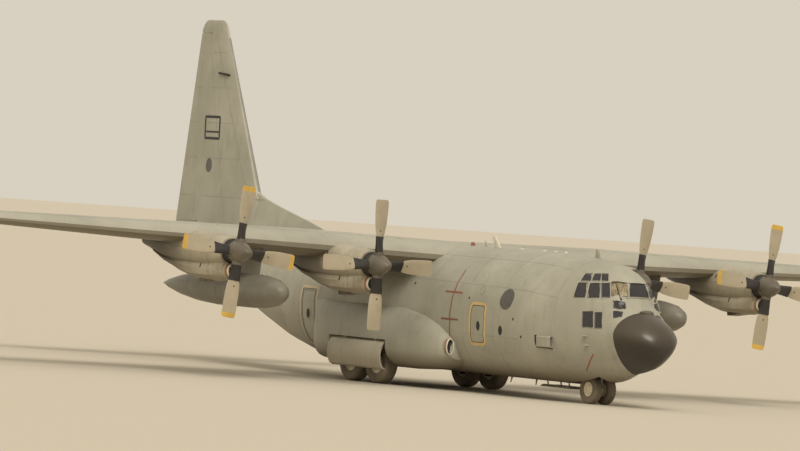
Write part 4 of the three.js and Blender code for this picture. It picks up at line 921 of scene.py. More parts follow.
# %% Glass
def tinted(name, tint, through, bend=1.3):
    made, _, shader = material(name, rough=0.06)
    shader.inputs["Base Color"].default_value = (*tint, 1)
    shader.inputs["Transmission Weight"].default_value = through
    shader.inputs["IOR"].default_value = bend
    return made


PAINTS["glass"] = tinted("smoked_glass", (0.16, 0.15, 0.16), 0.7)
PAINTS["clear"] = tinted("clear_glass", (0.93, 0.92, 0.88), 1.0, bend=1.06)
print(len(PAINTS), "paints with the two glasses")

# %% Panes and their edges
# Panes that lean more than their openings, in the same order of corners.
PANES = WINDOWS | {
    "quarter": [
        (11.010, 0.722, 3.815), (10.817, 0.872, 3.785), (11.055, 1.012, 3.335), (11.295, 0.882, 3.365),
    ],
    "side_2": [
        (10.777, 0.915, 3.775), (10.495, 1.080, 3.745), (10.640, 1.240, 3.310), (10.965, 1.048, 3.335),
    ],
    "side_3": [
        (10.408, 1.125, 3.760), (10.110, 1.250, 3.735), (10.200, 1.445, 3.290), (10.540, 1.290, 3.315),
    ],
    "upper_1": [
        (10.729, 0.613, 4.080), (10.590, 0.720, 4.070), (10.770, 0.840, 3.850), (10.920, 0.735, 3.865),
    ],
    "upper_2": [
        (10.540, 0.748, 4.070), (10.386, 0.850, 4.050), (10.490, 1.020, 3.835), (10.700, 0.880, 3.845),
    ],
    "upper_3": [
        (10.275, 0.895, 4.050), (10.090, 0.985, 4.030), (10.140, 1.180, 3.810), (10.420, 1.050, 3.830),
    ],
}
pane_corners = on_both_sides(PANES)
GLASS_GROWTH = 0.008
SEAL = 0.012
LIP = 0.045
ROUND = 0.035
OPENING_GROWTH, OPENING_ROUND = 0.03, 0.05
print(len(pane_corners), "panes, seals", SEAL, "m wide")


# %% Panes, frames, seals and the sun shade
def nested(outline, lift, rise, thick):
    """A thin shell over an outline, as nested rings, so that it bends with the skin."""
    middle = sum(outline, Vector((0, 0))) / len(outline)
    shrunk = [[middle.lerp(p, share) for p in outline] for share in (0.02, 0.35, 0.7, 1)]
    front = [[lift(p.x, p.y, rise) for p in ring] for ring in shrunk]
    back = [[lift(p.x, p.y, rise - thick) for p in ring] for ring in shrunk[::-1]]
    return stretch(front + back)


def closed_band(loops, lift):
    """A ring-shaped skin over loops of (outline, rise) that come back to the first one."""
    rings = [[lift(p.x, p.y, rise) for p in outline] for outline, rise in loops]
    return stretch(rings + rings[:1], caps=False)


cabin_rays = ray_tree("forward_fuselage", "radome")
window_lifts = {}
panes, screens, frames, seals = [], [], [], []
for name, corners in window_corners.items():
    flatten, lift = fitted_hill(corners, cabin_rays)
    flat_pane = [flatten(c) for c in pane_corners[name]]
    growths = (GLASS_GROWTH, GLASS_GROWTH + SEAL, LIP)
    glass_edge, seal_edge, lip_edge = [rounded_outline(flat_pane, grow, ROUND) for grow in growths]
    opening_edge = rounded_outline([flatten(c) for c in corners], OPENING_GROWTH, OPENING_ROUND)
    middle = sum(lip_edge, Vector((0, 0))) / len(lip_edge)
    outer = [max(pair, key=lambda p: (p - middle).length) for pair in zip(lip_edge, opening_edge)]
    (screens if name == "front_right" else panes).append(nested(glass_edge, lift, -0.004, 0.016))
    seals.append(closed_band([
        (glass_edge, -0.03), (glass_edge, 0.009), (seal_edge, 0.009), (seal_edge, -0.03),
    ], lift))
    frames.append(closed_band([
        (seal_edge, -0.05), (seal_edge, 0.006), (outer, 0.004), (outer, -0.015),
    ], lift))
    window_lifts[name] = (flat_pane, lift)
dress("cockpit_panes", panes, "glass", crease=50, stands_for=["cockpit_glazing"])
dress("copilot_screen", screens, "clear", crease=50)
dress("cockpit_window_frames", frames, "skin", crease=40)
dress("cockpit_window_seals", seals, "dark", crease=40)
flat_pane, lift = window_lifts["front_right"]
shade_edge = rounded_outline(flat_pane, 0.0, ROUND)
piece("copilot_sun_shade", *nested(shade_edge, lift, -0.045, 0.01), "airframe", "shade", 40)
print(len(panes), "dark panes,", len(screens), "clear pane")


# %% Wipers
def on_pane(name, along, up, rise):
    """A point over a pane: along runs from its front edge to its back edge and up from its sill."""
    corners, lift = window_lifts[name]
    top, sill = corners[0].lerp(corners[1], along), corners[3].lerp(corners[2], along)
    here = sill.lerp(top, up)
    return lift(here.x, here.y, rise)


# Points of (along, up, rise) over a pane, and the pivot's profile.
WIPER_ARM = ((0.42, -0.25, 0.01), (0.45, -0.2, 0.04), (0.6, 0.3, 0.045), (0.66, 0.5, 0.03))
WIPER_BLADE = ((0.55, 0.1, 0.016), (0.62, 0.36, 0.016), (0.7, 0.68, 0.016))
WIPER_PIVOT = ((-0.03, 0.03), (0.03, 0.03), (0.035, 0.02))
wipers = []
for name in ("front_right", "front_left"):
    arm = [on_pane(name, *place) for place in WIPER_ARM]
    blade = [on_pane(name, *place) for place in WIPER_BLADE]
    wipers += [pipe(arm, 0.012, 8), pipe(blade, 0.014, 6), turned(WIPER_PIVOT, arm[0], "z", 12)]
dress("windscreen_wipers", wipers, "dark", crease=40)
print("wipers on the two front panes")

# %% [markdown]
# ## Ribbons on the skin
# Seams, door outlines and painted stripes are all the same thing to a modeller: a thin
# strip that follows the skin. `drape` walks along a path, drops each step onto the skin
# with a ray, and lays a flat four-sided strip there, square to the skin's own direction.

# %% Paths dropped onto the skin
STEP = 0.06
LONG_STEP = 0.25
OUTSIDE = 13.0
MIDDLE_HEIGHT = 3.9
LONGEST_GAP = 0.45


def walk(points, closed=False, step=STEP):
    """Points along a path at even steps, with every corner kept."""
    ends = list(points) + ([points[0]] if closed else [])
    made = []
    for a, b in zip(ends, ends[1:]):
        a, b = np.array(a, float), np.array(b, float)
        count = max(1, round(float(np.linalg.norm(b - a)) / step))
        made += [a + (b - a) * k / count for k in range(count)]
    return made if closed else made + [np.array(ends[-1], float)]


def from_side(tree, points, hand, closed=False, step=STEP):
    """Hits of a path of (x, z), seen from the left (1) or the right (-1)."""
    return [meet(tree, (x, hand * OUTSIDE, z), (0, -hand, 0)) for x, z in walk(points, closed, step)]


def from_above(tree, points, way=-1, step=STEP):
    """Hits of a path of (x, y), seen from above (-1) or from below (1)."""
    return [meet(tree, (x, y, MIDDLE_HEIGHT - 4 * way), (0, 0, way)) for x, y in walk(points, step=step)]


def body_axis(x):
    """The height of the body's middle at a station."""
    return float(np.interp(x, [-16, -4, 12], [4.3, 2.55, 2.3]))


def toward_body(tree, x, angle):
    """The hit of a ray that comes in to the body's middle at a station."""
    way = Vector((0, math.cos(angle), math.sin(angle)))
    return meet(tree, Vector((x, 0, body_axis(x))) + way * 5, -way)


def round_body(tree, x, start, stop):
    """Hits round the body at a station, from one angle to another, 0 on the left and 90 on top."""
    return [toward_body(tree, x, angle) for angle in np.radians(np.arange(start, stop + 0.1, 1.7))]


def along_body(tree, angle, stations):
    """Hits along the body at one angle."""
    return [toward_body(tree, x, math.radians(angle)) for x in stations]


print("a walk of one metre has", len(walk([(0, 0), (1, 0)])), "points")


# %% Draped strips
def drape(hits, width, high=0.004, low=-0.006, closed=False):
    """A flat strip over hits. A missed ray splits the strip in two."""
    runs, run = [], []
    for hit in hits:
        if hit is None or (run and (hit[0] - run[-1][0]).length > LONGEST_GAP):
            runs.append(run)
            run = []
        if hit is not None:
            run.append(hit)
    runs.append(run)
    parts = []
    for run in runs:
        if len(run) < 2:
            continue
        whole = closed and len(run) == len(hits)
        rings = []
        for i, (here, out) in enumerate(run):
            before = run[i - 1][0] if i or whole else here
            after = run[(i + 1) % len(run)][0] if i < len(run) - 1 or whole else here
            along = (after - before).normalized()
            across = along.cross(out).normalized() * (width / 2)
            sides = ((across, low), (across, high), (-across, high), (-across, low))
            rings.append([here + aside + out * rise for aside, rise in sides])
        parts.append(stretch(rings + rings[:1] if whole else rings, caps=not whole))
    return joined(*parts)


SEAM, WIDE_SEAM = 0.012, 0.014
SEAM_RISE = 0.003


def seam_strips(rows, width=SEAM):
    """A low strip over each row of hits."""
    return [drape(hits, width, SEAM_RISE) for hits in rows]


print("strips every", STEP, "m")

# %% [markdown]
# The skin is riveted in sheets. Their butt seams run round the body at its frames and
# along it at its stringers, and along the wing at its spars and ribs. Each seam is a dark
# strip a few millimetres high.

# %% Seams of the body
# Stations of the frames, and the angle where each seam starts on the left side.
FRAMES = {
    9.62: -110, 8.22: -110, 7.15: -110, 5.20: -110, 3.00: -60, 1.60: 20, 0.20: 20, -1.20: 20, -2.40: -110,
    -3.25: -110, -4.50: -60, -5.70: -36, -6.90: -34, -8.20: -18, -9.50: -16, -10.80: -12, -12.10: -60,
    -13.40: -60, -14.60: -60,
}
STRINGERS = {
    28: np.arange(9.6, -14.6, -0.2), 58: np.arange(9.5, -14.0, -0.2), -14: np.arange(8.2, 5.0, -0.2),
    -48: np.arange(8.2, -3.3, -0.2),
}
frame_hits = [round_body(body_rays, x, start, 180 - start) for x, start in FRAMES.items()]
stringer_hits = [
    along_body(body_rays, a, xs) for angle, xs in STRINGERS.items() for a in (angle, 180 - angle)
]
body_seams = dress("body_seams", seam_strips(frame_hits + stringer_hits), "seam")
print("body seams:", len(body_seams.data.vertices), "points")


# %% Seams of the wings and the tail
def mirrored(path):
    """A path of (x, y) on both wings."""
    return [path, [(x, -y) for x, y in path]]


WING_BREAK = 5.59
WING_STATIONS = [0, WING_BREAK, 20.2]
WING_SPARS = ((1.75, 1.42), (0.55, 0.85), (-0.72, 0.32))
WING_RIBS = [2.4, 3.9, 5.6, 7.7, 9.2, 11.2, 12.64, 14.4, 16.2, 18.0, 19.6]
wing_paths = []
for y in WING_RIBS:
    front = float(np.interp(y, WING_STATIONS, [2.3, 2.3, 1.72]))
    back = float(np.interp(y, WING_STATIONS, [-1.0, -1.0, 0.35]))
    wing_paths += mirrored([(front, y), (back, y)])
for root, tip in WING_SPARS:
    wing_paths += mirrored([(root, 2.3), (root, WING_BREAK), (tip, 19.9)])
wing_top = [from_above(wing_rays, path, step=LONG_STEP) for path in wing_paths]
wing_bottom = [from_above(wing_rays, path, way=1, step=LONG_STEP) for path in wing_paths]
wing_seams = dress("wing_seams", seam_strips(wing_top + wing_bottom, WIDE_SEAM), "seam")
tail_rays = ray_tree("tailplane")
fin_rays = ray_tree("fin")
tail_paths = mirrored([(-11.9, 0.75), (-12.6, 7.8)])
for y in (1.6, 3.1, 4.6, 6.2, 7.5):
    front, back = [float(np.interp(y, [0.5, 8], ends)) for ends in ([-11.5, -12.9], [-14.4, -14.0])]
    tail_paths += mirrored([(front, y), (back, y)])
tail_hits = [from_above(tail_rays, path, way, step=LONG_STEP) for path in tail_paths for way in (1, -1)]


def fin_front(z):
    """Where the fin's leading edge is at a height."""
    return float(np.interp(z, [5, 11.4], [-9.6, -13.9]))


FIN_RIBS = (5.6, 6.9, 8.1, 9.3, 10.5)
fin_paths = [[(-10.9, 5.2), (-14.0, 11.1)], [(-12.4, 4.9), (-14.5, 11.2)]]
fin_paths += [[(fin_front(z), z), (-14.6, z)] for z in FIN_RIBS]
fin_hits = [from_side(fin_rays, path, hand, step=LONG_STEP) for path in fin_paths for hand in (1, -1)]
dress("tail_seams", seam_strips(tail_hits + fin_hits, WIDE_SEAM), "seam")
print("wing seams:", len(wing_seams.data.vertices), "points")

# %% [markdown]
# ## Rivets
# Rows of flush rivets follow the frames and the spars. They repeat by the thousand, so a
# node tree does it: it takes points that carry the skin's outward direction, stands a low
# five-sided head on each, makes them real and paints them.

# %% Rivets as a node tree
rivet_tree, given = new_tree(
    "rivet_rows", ("Head", "NodeSocketFloat"), ("Height", "NodeSocketFloat"),
    ("Paint", "NodeSocketMaterial"),
)
rivet_head = add(
    rivet_tree, "GeometryNodeMeshCone", None, {"Vertices": 5, "Fill Segments": 1},
    {"Radius Bottom": given["Head"], "Depth": given["Height"]},
)
rivet_head.inputs["Radius Top"].default_value = size(0.003)
outward = add(
    rivet_tree, "GeometryNodeInputNamedAttribute", {"data_type": "FLOAT_VECTOR"}, {"Name": "outward"}
)
lean = add(
    rivet_tree, "FunctionNodeAlignRotationToVector", {"axis": "Z"}, None, {"Vector": outward.outputs[0]}
)
stood = add(
    rivet_tree, "GeometryNodeInstanceOnPoints", None, None,
    {"Points": given["Geometry"], "Instance": rivet_head.outputs[0], "Rotation": lean.outputs[0]},
)
made_real = add(rivet_tree, "GeometryNodeRealizeInstances", None, None, {0: stood.outputs[0]})
rivet_paint = add(
    rivet_tree, "GeometryNodeSetMaterial", None, None, {0: made_real.outputs[0], "Material": given["Paint"]}
)
add(rivet_tree, "NodeGroupOutput", None, None, {0: rivet_paint.outputs[0]})


RIVET_RISE = 0.004


def rivets(name, rows, look, body="airframe", spacing=0.12, aside=0.03, head=0.006):
    """Rivets on both sides of each row of hits, spacing apart and aside from its line."""
    points, normals = [], []
    for hits in rows:
        hits = [hit for hit in hits if hit is not None]
        left = spacing
        for (a, out), (b, _) in zip(hits, hits[1:]):
            length = (b - a).length
            if not 0 < length < LONGEST_GAP:
                continue
            across = (b - a).normalized().cross(out).normalized() * aside
            while left <= length:
                middle = a.lerp(b, left / length)
                points += [spot(*(middle + across)), spot(*(middle - across))]
                normals += [out, out]
                left += spacing
            left -= length
    cloud = bpy.data.meshes.new(name + "_points")
    cloud.from_pydata(points, [], [])
    store = cloud.attributes.new("outward", "FLOAT_VECTOR", "POINT")
    store.data.foreach_set("vector", np.array(normals, np.float32).ravel())
    mesh = tree_mesh(name, rivet_tree, cloud, Head=size(head), Height=size(RIVET_RISE), Paint=PAINTS[look])
    print(name, len(points))
    return finish_piece(name, mesh, body, look, 60)


rivets("body_rivets", frame_hits + stringer_hits, "skin", spacing=0.16, aside=0.035, head=0.007)
rivets("wing_rivets", wing_top + wing_bottom, "wing", spacing=0.2, head=0.007)

# %% [markdown]
# ## Doors, warning stripe and plain marks
# An amber band frames the side exit and the paratroop doors, so that they are found fast
# from outside. A red-brown stripe on the side marks where the propellers turn. The marks
# are plain: a disc beside the cockpit, and a disc and an empty framed panel on the tail.

# %% Bands round the exits
def rounded_box(front, back, bottom, top, radius, arc=6):
    """Points of (x, z) round a box with round corners."""
    corners = [(front - radius, top - radius, 0), (back + radius, top - radius, 90),
               (back + radius, bottom + radius, 180), (front - radius, bottom + radius, 270)]
    outline = []
    for x, z, start in corners:
        for turned_by in np.linspace(0, 90, arc + 1):
            angle = math.radians(start + turned_by)
            outline.append((x + radius * math.cos(angle), z + radius * math.sin(angle)))
    return outline


SIDE_EXIT = {"front": 6.44, "back": 5.52, "bottom": 1.52, "top": 2.88}
JUMP_DOOR = {"front": -3.36, "back": -4.38, "bottom": 1.00, "top": 2.93}
JUMP_DOOR_PANEL = {"front": -3.52, "back": -4.22, "bottom": 1.16, "top": 2.77}
BAND_WIDTH = 0.09
GROOVE = 0.012
ROUND_STEP = 0.04
bands, faded_bands, grooves = [], [], []


def inset(opening, by):
    """An opening that is smaller by the same width on all sides."""
    return {key: value - by if key in ("front", "top") else value + by for key, value in opening.items()}


def side_loop(tree, outline, hand, width, rise, step=ROUND_STEP):
    """A closed strip over an outline of (x, z) on one side."""
    return drape(from_side(tree, outline, hand, True, step), width, rise, closed=True)


for hand in (1, -1):
    for made, opening, radius in ((bands, SIDE_EXIT, 0.15), (faded_bands, JUMP_DOOR, 0.09)):
        band = rounded_box(**inset(opening, BAND_WIDTH / 2), radius=radius)
        edge = rounded_box(**inset(opening, BAND_WIDTH + GROOVE), radius=radius - 0.03)
        made.append(side_loop(outer_rays, band, hand, BAND_WIDTH, 0.005))
        grooves.append(side_loop(outer_rays, edge, hand, GROOVE, 0.007))
    grooves.append(side_loop(outer_rays, rounded_box(**JUMP_DOOR_PANEL, radius=0.05), hand, GROOVE, 0.005))
dress("exit_bands", bands, "amber")
dress("jump_door_bands", faded_bands, "faded")
dress("exit_grooves", grooves, "dark")
print("bands round", len(bands) + len(faded_bands), "exits")

# %% Warning stripe
PROPELLER_PLANE = 4.44
CROSS_BARS = (3.13, 2.27)
stripes = []
for hand, angles in ((-1, (139, 205)), (1, (-25, 41))):
    stripes.append(drape(round_body(body_rays, PROPELLER_PLANE, *angles), 0.05, 0.005))
    for z in CROSS_BARS:
        stripes.append(drape(from_side(body_rays, [(3.95, z), (4.90, z)], hand), 0.06, 0.006))
dress("propeller_stripe", stripes, "red")
print("stripe at station", PROPELLER_PLANE, "with", len(CROSS_BARS), "cross bars on each side")


# %% Plain marks
def patch(tree, outline, hand, rise=0.005, rings=5):
    """A thin plate over an outline of (x, z) on one side, in nested rings that follow the skin."""
    middle = np.mean(np.array(outline), axis=0)
    layers = []
    for share in np.linspace(0.02, 1, rings):
        ring = [middle + (np.array(p) - middle) * share for p in outline]
        layers.append([meet(tree, (x, hand * OUTSIDE, z), (0, -hand, 0)) for x, z in ring])
    front = [[p + out * rise for p, out in ring] for ring in layers]
    back = [[p - out * 0.01 for p, out in ring] for ring in layers[::-1]]
    return stretch(front + back)


def disc(x, z, across, high, count=40):
    """Points of (x, z) round an upright oval, from its half width and half height."""
    return [(x + across * math.cos(t), z + high * math.sin(t)) for t in full_turn(count)]


tail_mark_rays = ray_tree("fin", "rudder")
BODY_DISC = (7.40, 3.05, 0.33, 0.33)
TAIL_DISC = (-13.75, 6.65, 0.21, 0.24)
TAIL_PANEL = [(-13.26, 8.30), (-14.28, 8.30), (-14.22, 7.57), (-13.20, 7.57)]
TAIL_PANEL_BAR = [(-13.28, 7.79), (-14.20, 7.79)]
discs = [patch(body_rays, disc(*BODY_DISC), hand, rings=6) for hand in (1, -1)]
discs += [patch(tail_mark_rays, disc(*TAIL_DISC), hand, rings=3) for hand in (1, -1)]
dress("plain_discs", discs, "mark")
frames = []
for hand in (1, -1):
    edge = [tuple(p) for p in walk(TAIL_PANEL, True, 0.1)]
    frames.append(side_loop(tail_mark_rays, edge, hand, 0.09, 0.005, step=0.2))
    frames.append(drape(from_side(tail_mark_rays, TAIL_PANEL_BAR, hand), 0.06, 0.005))
dress("plain_panel_frames", frames, "panel")
print("plain marks placed")

# %% Round windows in the side
PORTS = ((6.04, 2.14), (7.25, 2.06), (-3.87, 2.02))
ports, port_rims = [], []
for hand in (1, -1):
    for x, z in PORTS:
        ports.append(patch(body_rays, disc(x, z, 0.10, 0.15, 24), hand, 0.006, 3))
        port_rims.append(side_loop(body_rays, disc(x, z, 0.12, 0.17, 24), hand, 0.03, 0.010, step=0.03))
# The round windows are dark plates, not glass: painted shade for the unlit cabin behind them.
dress("round_windows", ports, "dark")
dress("round_window_rims", port_rims, "skin")
print("round windows:", len(ports))

# %% [markdown]
# ## Fittings on the body
# Antennas, probes, the air scoop and the covers of the radome's latches stand on the
# skin. `skin_axes` gives the skin's own directions where a ray meets it, so each fitting
# is drawn in plain measures: ahead, aside and out.

# %% Axes on the skin
def skin_axes(hit, forward=(1, 0, 0)):
    """A function from (ahead, aside, out) to a point, on the skin's own axes at a hit."""
    here, out = hit
    ahead = Vector(forward)
    ahead = (ahead - out * ahead.dot(out)).normalized()
    aside = out.cross(ahead) * (1 if out.y < 0 else -1)
    return lambda a, b, c=0.0: here + ahead * a + aside * b + out * c


BLUNT_FRONT = 0.35


def stub(at, rows, count=16):
    """A streamlined stub. rows are (how far out, chord, thickness, how far aft)."""
    rings = []
    for out, chord, thick, aft in rows:
        ring = []
        for t in full_turn(count):
            aside = thick / 2 * math.sin(t) * (1 + BLUNT_FRONT * math.cos(t))
            ring.append(at(chord / 2 * math.cos(t) - aft, aside, out))
        rings.append(ring)
    return stretch(rings)


print("stubs are", BLUNT_FRONT, "blunter ahead than behind")


# %% Antennas on the roof and the belly
def roof(x):
    return skin_axes(meet(body_rays, (x, 0, 8), (0, 0, -1)))


def belly(x, y):
    return skin_axes(meet(body_rays, (x, y, -2), (0, 0, 1)))


MAST = [
    (-0.02, 0.30, 0.07, 0), (0.10, 0.25, 0.05, 0.02), (0.25, 0.19, 0.035, 0.05), (0.265, 0.12, 0.015, 0.06),
]
SWEPT_BLADE = [
    (-0.04, 0.36, 0.07, 0), (0.12, 0.29, 0.055, 0.08), (0.33, 0.21, 0.035, 0.2), (0.35, 0.14, 0.015, 0.22),
]
LOW_DOME = [(-0.02, 0.20, 0.10, 0), (0.015, 0.18, 0.085, 0), (0.03, 0.12, 0.05, 0), (0.036, 0.05, 0.02, 0)]
BEACON = [
    (-0.02, 0.17, 0.14, 0), (0.04, 0.155, 0.13, 0), (0.085, 0.13, 0.105, 0), (0.105, 0.07, 0.05, 0),
    (0.11, 0.02, 0.02, 0),
]
STICK = [
    (-0.02, 0.10, 0.05, 0), (0.08, 0.07, 0.03, 0.02), (0.17, 0.05, 0.02, 0.04), (0.18, 0.02, 0.01, 0.045),
]
roof_stubs = [stub(roof(9.27), MAST), stub(roof(3.05), STICK), stub(roof(0.5), STICK)]
dress("roof_mast", roof_stubs, "skin", crease=40)
piece("roof_blade_antenna", *stub(roof(3.72), SWEPT_BLADE), "airframe", "pale", 40)
DOME_STATIONS = (5.05, 6.30, 6.95, 7.50, -7.74)
dress("roof_domes", [stub(roof(x), LOW_DOME) for x in DOME_STATIONS], "pale", crease=40)
piece("roof_beacon", *stub(roof(2.27), BEACON), "airframe", "red", 40)
BELLY_ANTENNAS = ((6.4, 0.0, STICK), (7.6, 0.35, LOW_DOME), (5.6, -0.4, STICK), (-13.6, 0.0, STICK))
belly_stubs = [stub(belly(x, y), rows) for x, y, rows in BELLY_ANTENNAS]
dress("belly_antennas", belly_stubs, "cowl", crease=40)
print("antennas on the roof and the belly")

# %% Air scoop on the right side
SCOOP_X, SCOOP_Z = 9.36, 1.85
SCOOP_HALF = 0.175
SCOOP_WALL = 0.022
SCOOP_DEPTH = 0.14
scoop_at = skin_axes(meet(body_rays, (SCOOP_X, -7, SCOOP_Z), (0, 1, 0)))


def scoop_ring(ahead, proud, wall=0.0):
    """A section of the scoop, or of its throat when it has a wall."""
    half, corner = SCOOP_HALF - wall, 0.03
    sill = 0.004 if wall else -0.06
    one_side = [(half - corner, proud), (half, proud - corner), (half, sill)]
    outline = [(-aside, out) for aside, out in one_side[::-1]] + one_side
    return [scoop_at(ahead, aside, out) for aside, out in outline]


SCOOP_ROWS = ((-0.36, 0.012), (-0.3, 0.05), (-0.1, 0.115), (0.2, SCOOP_DEPTH), (0.35, SCOOP_DEPTH))
shell = [scoop_ring(ahead, proud) for ahead, proud in SCOOP_ROWS]
throat = [scoop_ring(ahead, SCOOP_DEPTH - SCOOP_WALL, SCOOP_WALL) for ahead in (0.345, 0.12)]
piece("air_scoop", *stretch(shell + throat), "airframe", "skin", 35)
# Painted shade: a dark plug closes the throat, and dark lines run along the scoop's heel and below it.
plug = [scoop_ring(ahead, 0.139 - SCOOP_WALL, SCOOP_WALL + 0.001) for ahead in (0.135, 0.125)]
piece("air_scoop_throat", *stretch(plug), "airframe", "dark", 35)
heel = drape(from_side(body_rays, [(8.975, 1.72), (8.975, 2.03)], -1), 0.08, 0.008)
piece("air_scoop_heel_line", *heel, "airframe", "dark", 30)
below = walk([(8.97, 1.655), (9.64, 1.648)])
painted_shade_below = drape([meet(body_rays, (x, -7, z), (0, 1, 0)) for x, z in below], 0.03, 0.006)
piece("air_scoop_shadow_line", *painted_shade_below, "airframe", "dark", 30)
print("scoop mouth", 2 * SCOOP_HALF, "m high")

# %% Probes on the nose, marks and latch covers
PROBES = ((10.81, 2.13), (10.83, 1.86))
PROBE_POST = [(-0.02, 0.15, 0.05, 0), (0.02, 0.12, 0.04, 0), (0.12, 0.09, 0.03, 0)]
probes = []
for hand in (1, -1):
    for x, z in PROBES:
        at = skin_axes(meet(body_rays, (x, hand * 7, z), (0, -hand, 0)))
        probes.append(stub(at, PROBE_POST))
        probes.append(pipe([at(ahead, 0, 0.12) for ahead in (-0.05, 0.05, 0.12)], 0.022, 12))
dress("pitot_probes", probes, "wing", crease=40)

VENTS = ((5.38, 2.99), (8.30, 1.92), (7.9, 2.45), (2.1, 3.3), (-5.2, 3.6))
spots = [
    patch(body_rays, disc(x, z, 0.035, 0.045, 12), hand, 0.004, 2) for hand in (1, -1) for x, z in VENTS
]
dress("vent_spots", spots, "dark")
FILLER_CAP = disc(5.97, 3.26, 0.13, 0.13, 24)
rings = [side_loop(body_rays, FILLER_CAP, hand, 0.02, 0.006) for hand in (1, -1)]
dress("filler_cap_rings", rings, "steel")
drip = from_side(body_rays, [(10.95, 1.58), (10.72, 1.3), (10.46, 1.03)], -1, step=0.04)
piece("drip_stain", *drape(drip, 0.045, 0.003), "airframe", "red", 30)

# Each latch cover: its place across, its half length and how far it sweeps back.
LATCH_COVERS = ((0.08, 0.29, 0.0), (0.52, 0.16, 0.45))
LATCH_ROWS = [(-0.03, 2.0, 0.17), (0.022, 1.8, 0.14), (0.042, 1.3, 0.08)]
latches = []
for y, half, sweep in LATCH_COVERS:
    hit = meet(body_rays, (11.98, y, 6), (0, 0, -1))
    rows = [(out, chord * half, thick, 0) for out, chord, thick in LATCH_ROWS]
    latches.append(stub(skin_axes(hit, (-sweep, 1, 0)), rows))
dress("radome_latch_covers", latches, "spinner", crease=40)
print(len(probes) // 2, "probes,", len(latches), "latch covers")

# %% [markdown]
# ## Engine details
# Under each spinner the chin runs out into a duct for air, with a scorched band, a pale lip
# and a dark throat, a black cup that closes the duct as painted shade for its unlit inside.
# Duct, lip and throat are rows of ovals along X, each row a place, a half width and a half
# height, so one helper makes them all. Then come the panel seams, a vent slot on either flank,
# the oil cooler's flap underneath with a dark box of painted shade in its opening, and the
# exhaust pipe at the tail.

# %% Intakes and exhausts
INTAKE_DROP = 0.56
DUCT_SINK = 0.14
DUCT_START = 3.9
CLEAR_OF_COWL = 1.6
EXHAUST_RISE = 0.10
cowl_rays = ray_tree("nacelle_1", "nacelle_2", "nacelle_3", "nacelle_4")
DUCT_ROWS = [(3.86, 0.345, 0.315), (3.98, 0.340, 0.310), (4.06, 0.305, 0.285), (4.12, 0.260, 0.255),
             (4.17, 0.226, 0.232), (4.205, 0.208, 0.218), (4.205, 0.150, 0.170), (3.86, 0.140, 0.160)]
SCORCH_ROWS = [
    (4.135, 0.254, 0.251), (4.165, 0.234, 0.238), (4.200, 0.216, 0.226), (4.200, 0.200, 0.210),
    (4.135, 0.238, 0.238),
]
LIP_ROWS = [(4.200, 0.213, 0.223), (4.225, 0.208, 0.219), (4.243, 0.196, 0.208), (4.249, 0.180, 0.194),
            (4.244, 0.163, 0.180), (4.225, 0.152, 0.171), (4.200, 0.148, 0.168)]
THROAT_ROWS = [
    (4.02, 0.001, 0.001), (4.02, 0.128, 0.148), (4.215, 0.150, 0.169), (4.215, 0.156, 0.175),
    (4.00, 0.134, 0.154),
]
PIPE_ROWS = [
    (-0.655, 0.002), (-0.655, 0.088), (-0.84, 0.098), (-0.872, 0.102), (-0.872, 0.115), (-0.83, 0.118),
    (-0.65, 0.112), (-0.65, 0.002),
]


def ovals(rows, y, z, count=44, closed=False, sink=0.0):
    """Rings of upright ovals, each row its place along X, half width and half height. They
    sink by a share of the way from the duct's start."""
    rings = []
    for x, half, high in rows:
        middle = z - sink * (x - DUCT_START)
        rings.append([(x, y + half * math.cos(t), middle + high * math.sin(t)) for t in full_turn(count)])
    return stretch(rings + rings[:1] if closed else rings, not closed)


ducts, scorches, lips, throats, vanes, pipes = [], [], [], [], [], []
for y, z, _ in ENGINES.values():
    mouth = z - INTAKE_DROP
    for made, rows in ((ducts, DUCT_ROWS), (scorches, SCORCH_ROWS), (lips, LIP_ROWS)):
        made.append(ovals(rows, y, mouth, closed=True, sink=DUCT_SINK))
    throats.append(ovals(THROAT_ROWS, y, mouth, sink=DUCT_SINK))
    low = mouth - DUCT_SINK * 0.2
    vanes.append(box((4.03, y - 0.010, low - 0.14), (4.17, y + 0.010, low + 0.14)))
    for inner, outer in ((y - 0.13, y - 0.010), (y + 0.010, y + 0.13)):
        vanes.append(box((4.05, inner, low - 0.007), (4.15, outer, low + 0.007)))
    pipes.append(turned(PIPE_ROWS, (0, y, z + EXHAUST_RISE), "x", 36))
dress("intake_ducts", ducts, "cowl")
dress("intake_scorch_bands", scorches, "rust")
dress("intake_lips", lips, "pale")
# The throats are black cups: painted shade for the unlit inside of the ducts.
dress("intake_throats", throats, "dark")
dress("intake_vanes", vanes, "steel")
dress("exhaust_pipes", pipes, "bare")
print(len(lips), "intakes")


# %% Seams, bands and vents of the cowls
def round_cowl(engine, x, start, stop):
    """Hits round a nacelle at a station, from one angle to another."""
    y, z, _ = ENGINES[engine]
    middle = Vector((x, y, z))
    ways = [Vector((0, math.cos(a), math.sin(a))) for a in np.radians(np.arange(start, stop + 1, 4))]
    return [meet(cowl_rays, middle + way * CLEAR_OF_COWL, -way) for way in ways]


def beside_cowl(engine, hand, path, step=0.15):
    """Hits of a path of (x, height over the axis) on one flank of a nacelle."""
    y, z, _ = ENGINES[engine]
    aside = y + hand * CLEAR_OF_COWL
    return [meet(cowl_rays, (x, aside, z + up), (0, -hand, 0)) for x, up in walk(path, False, step)]


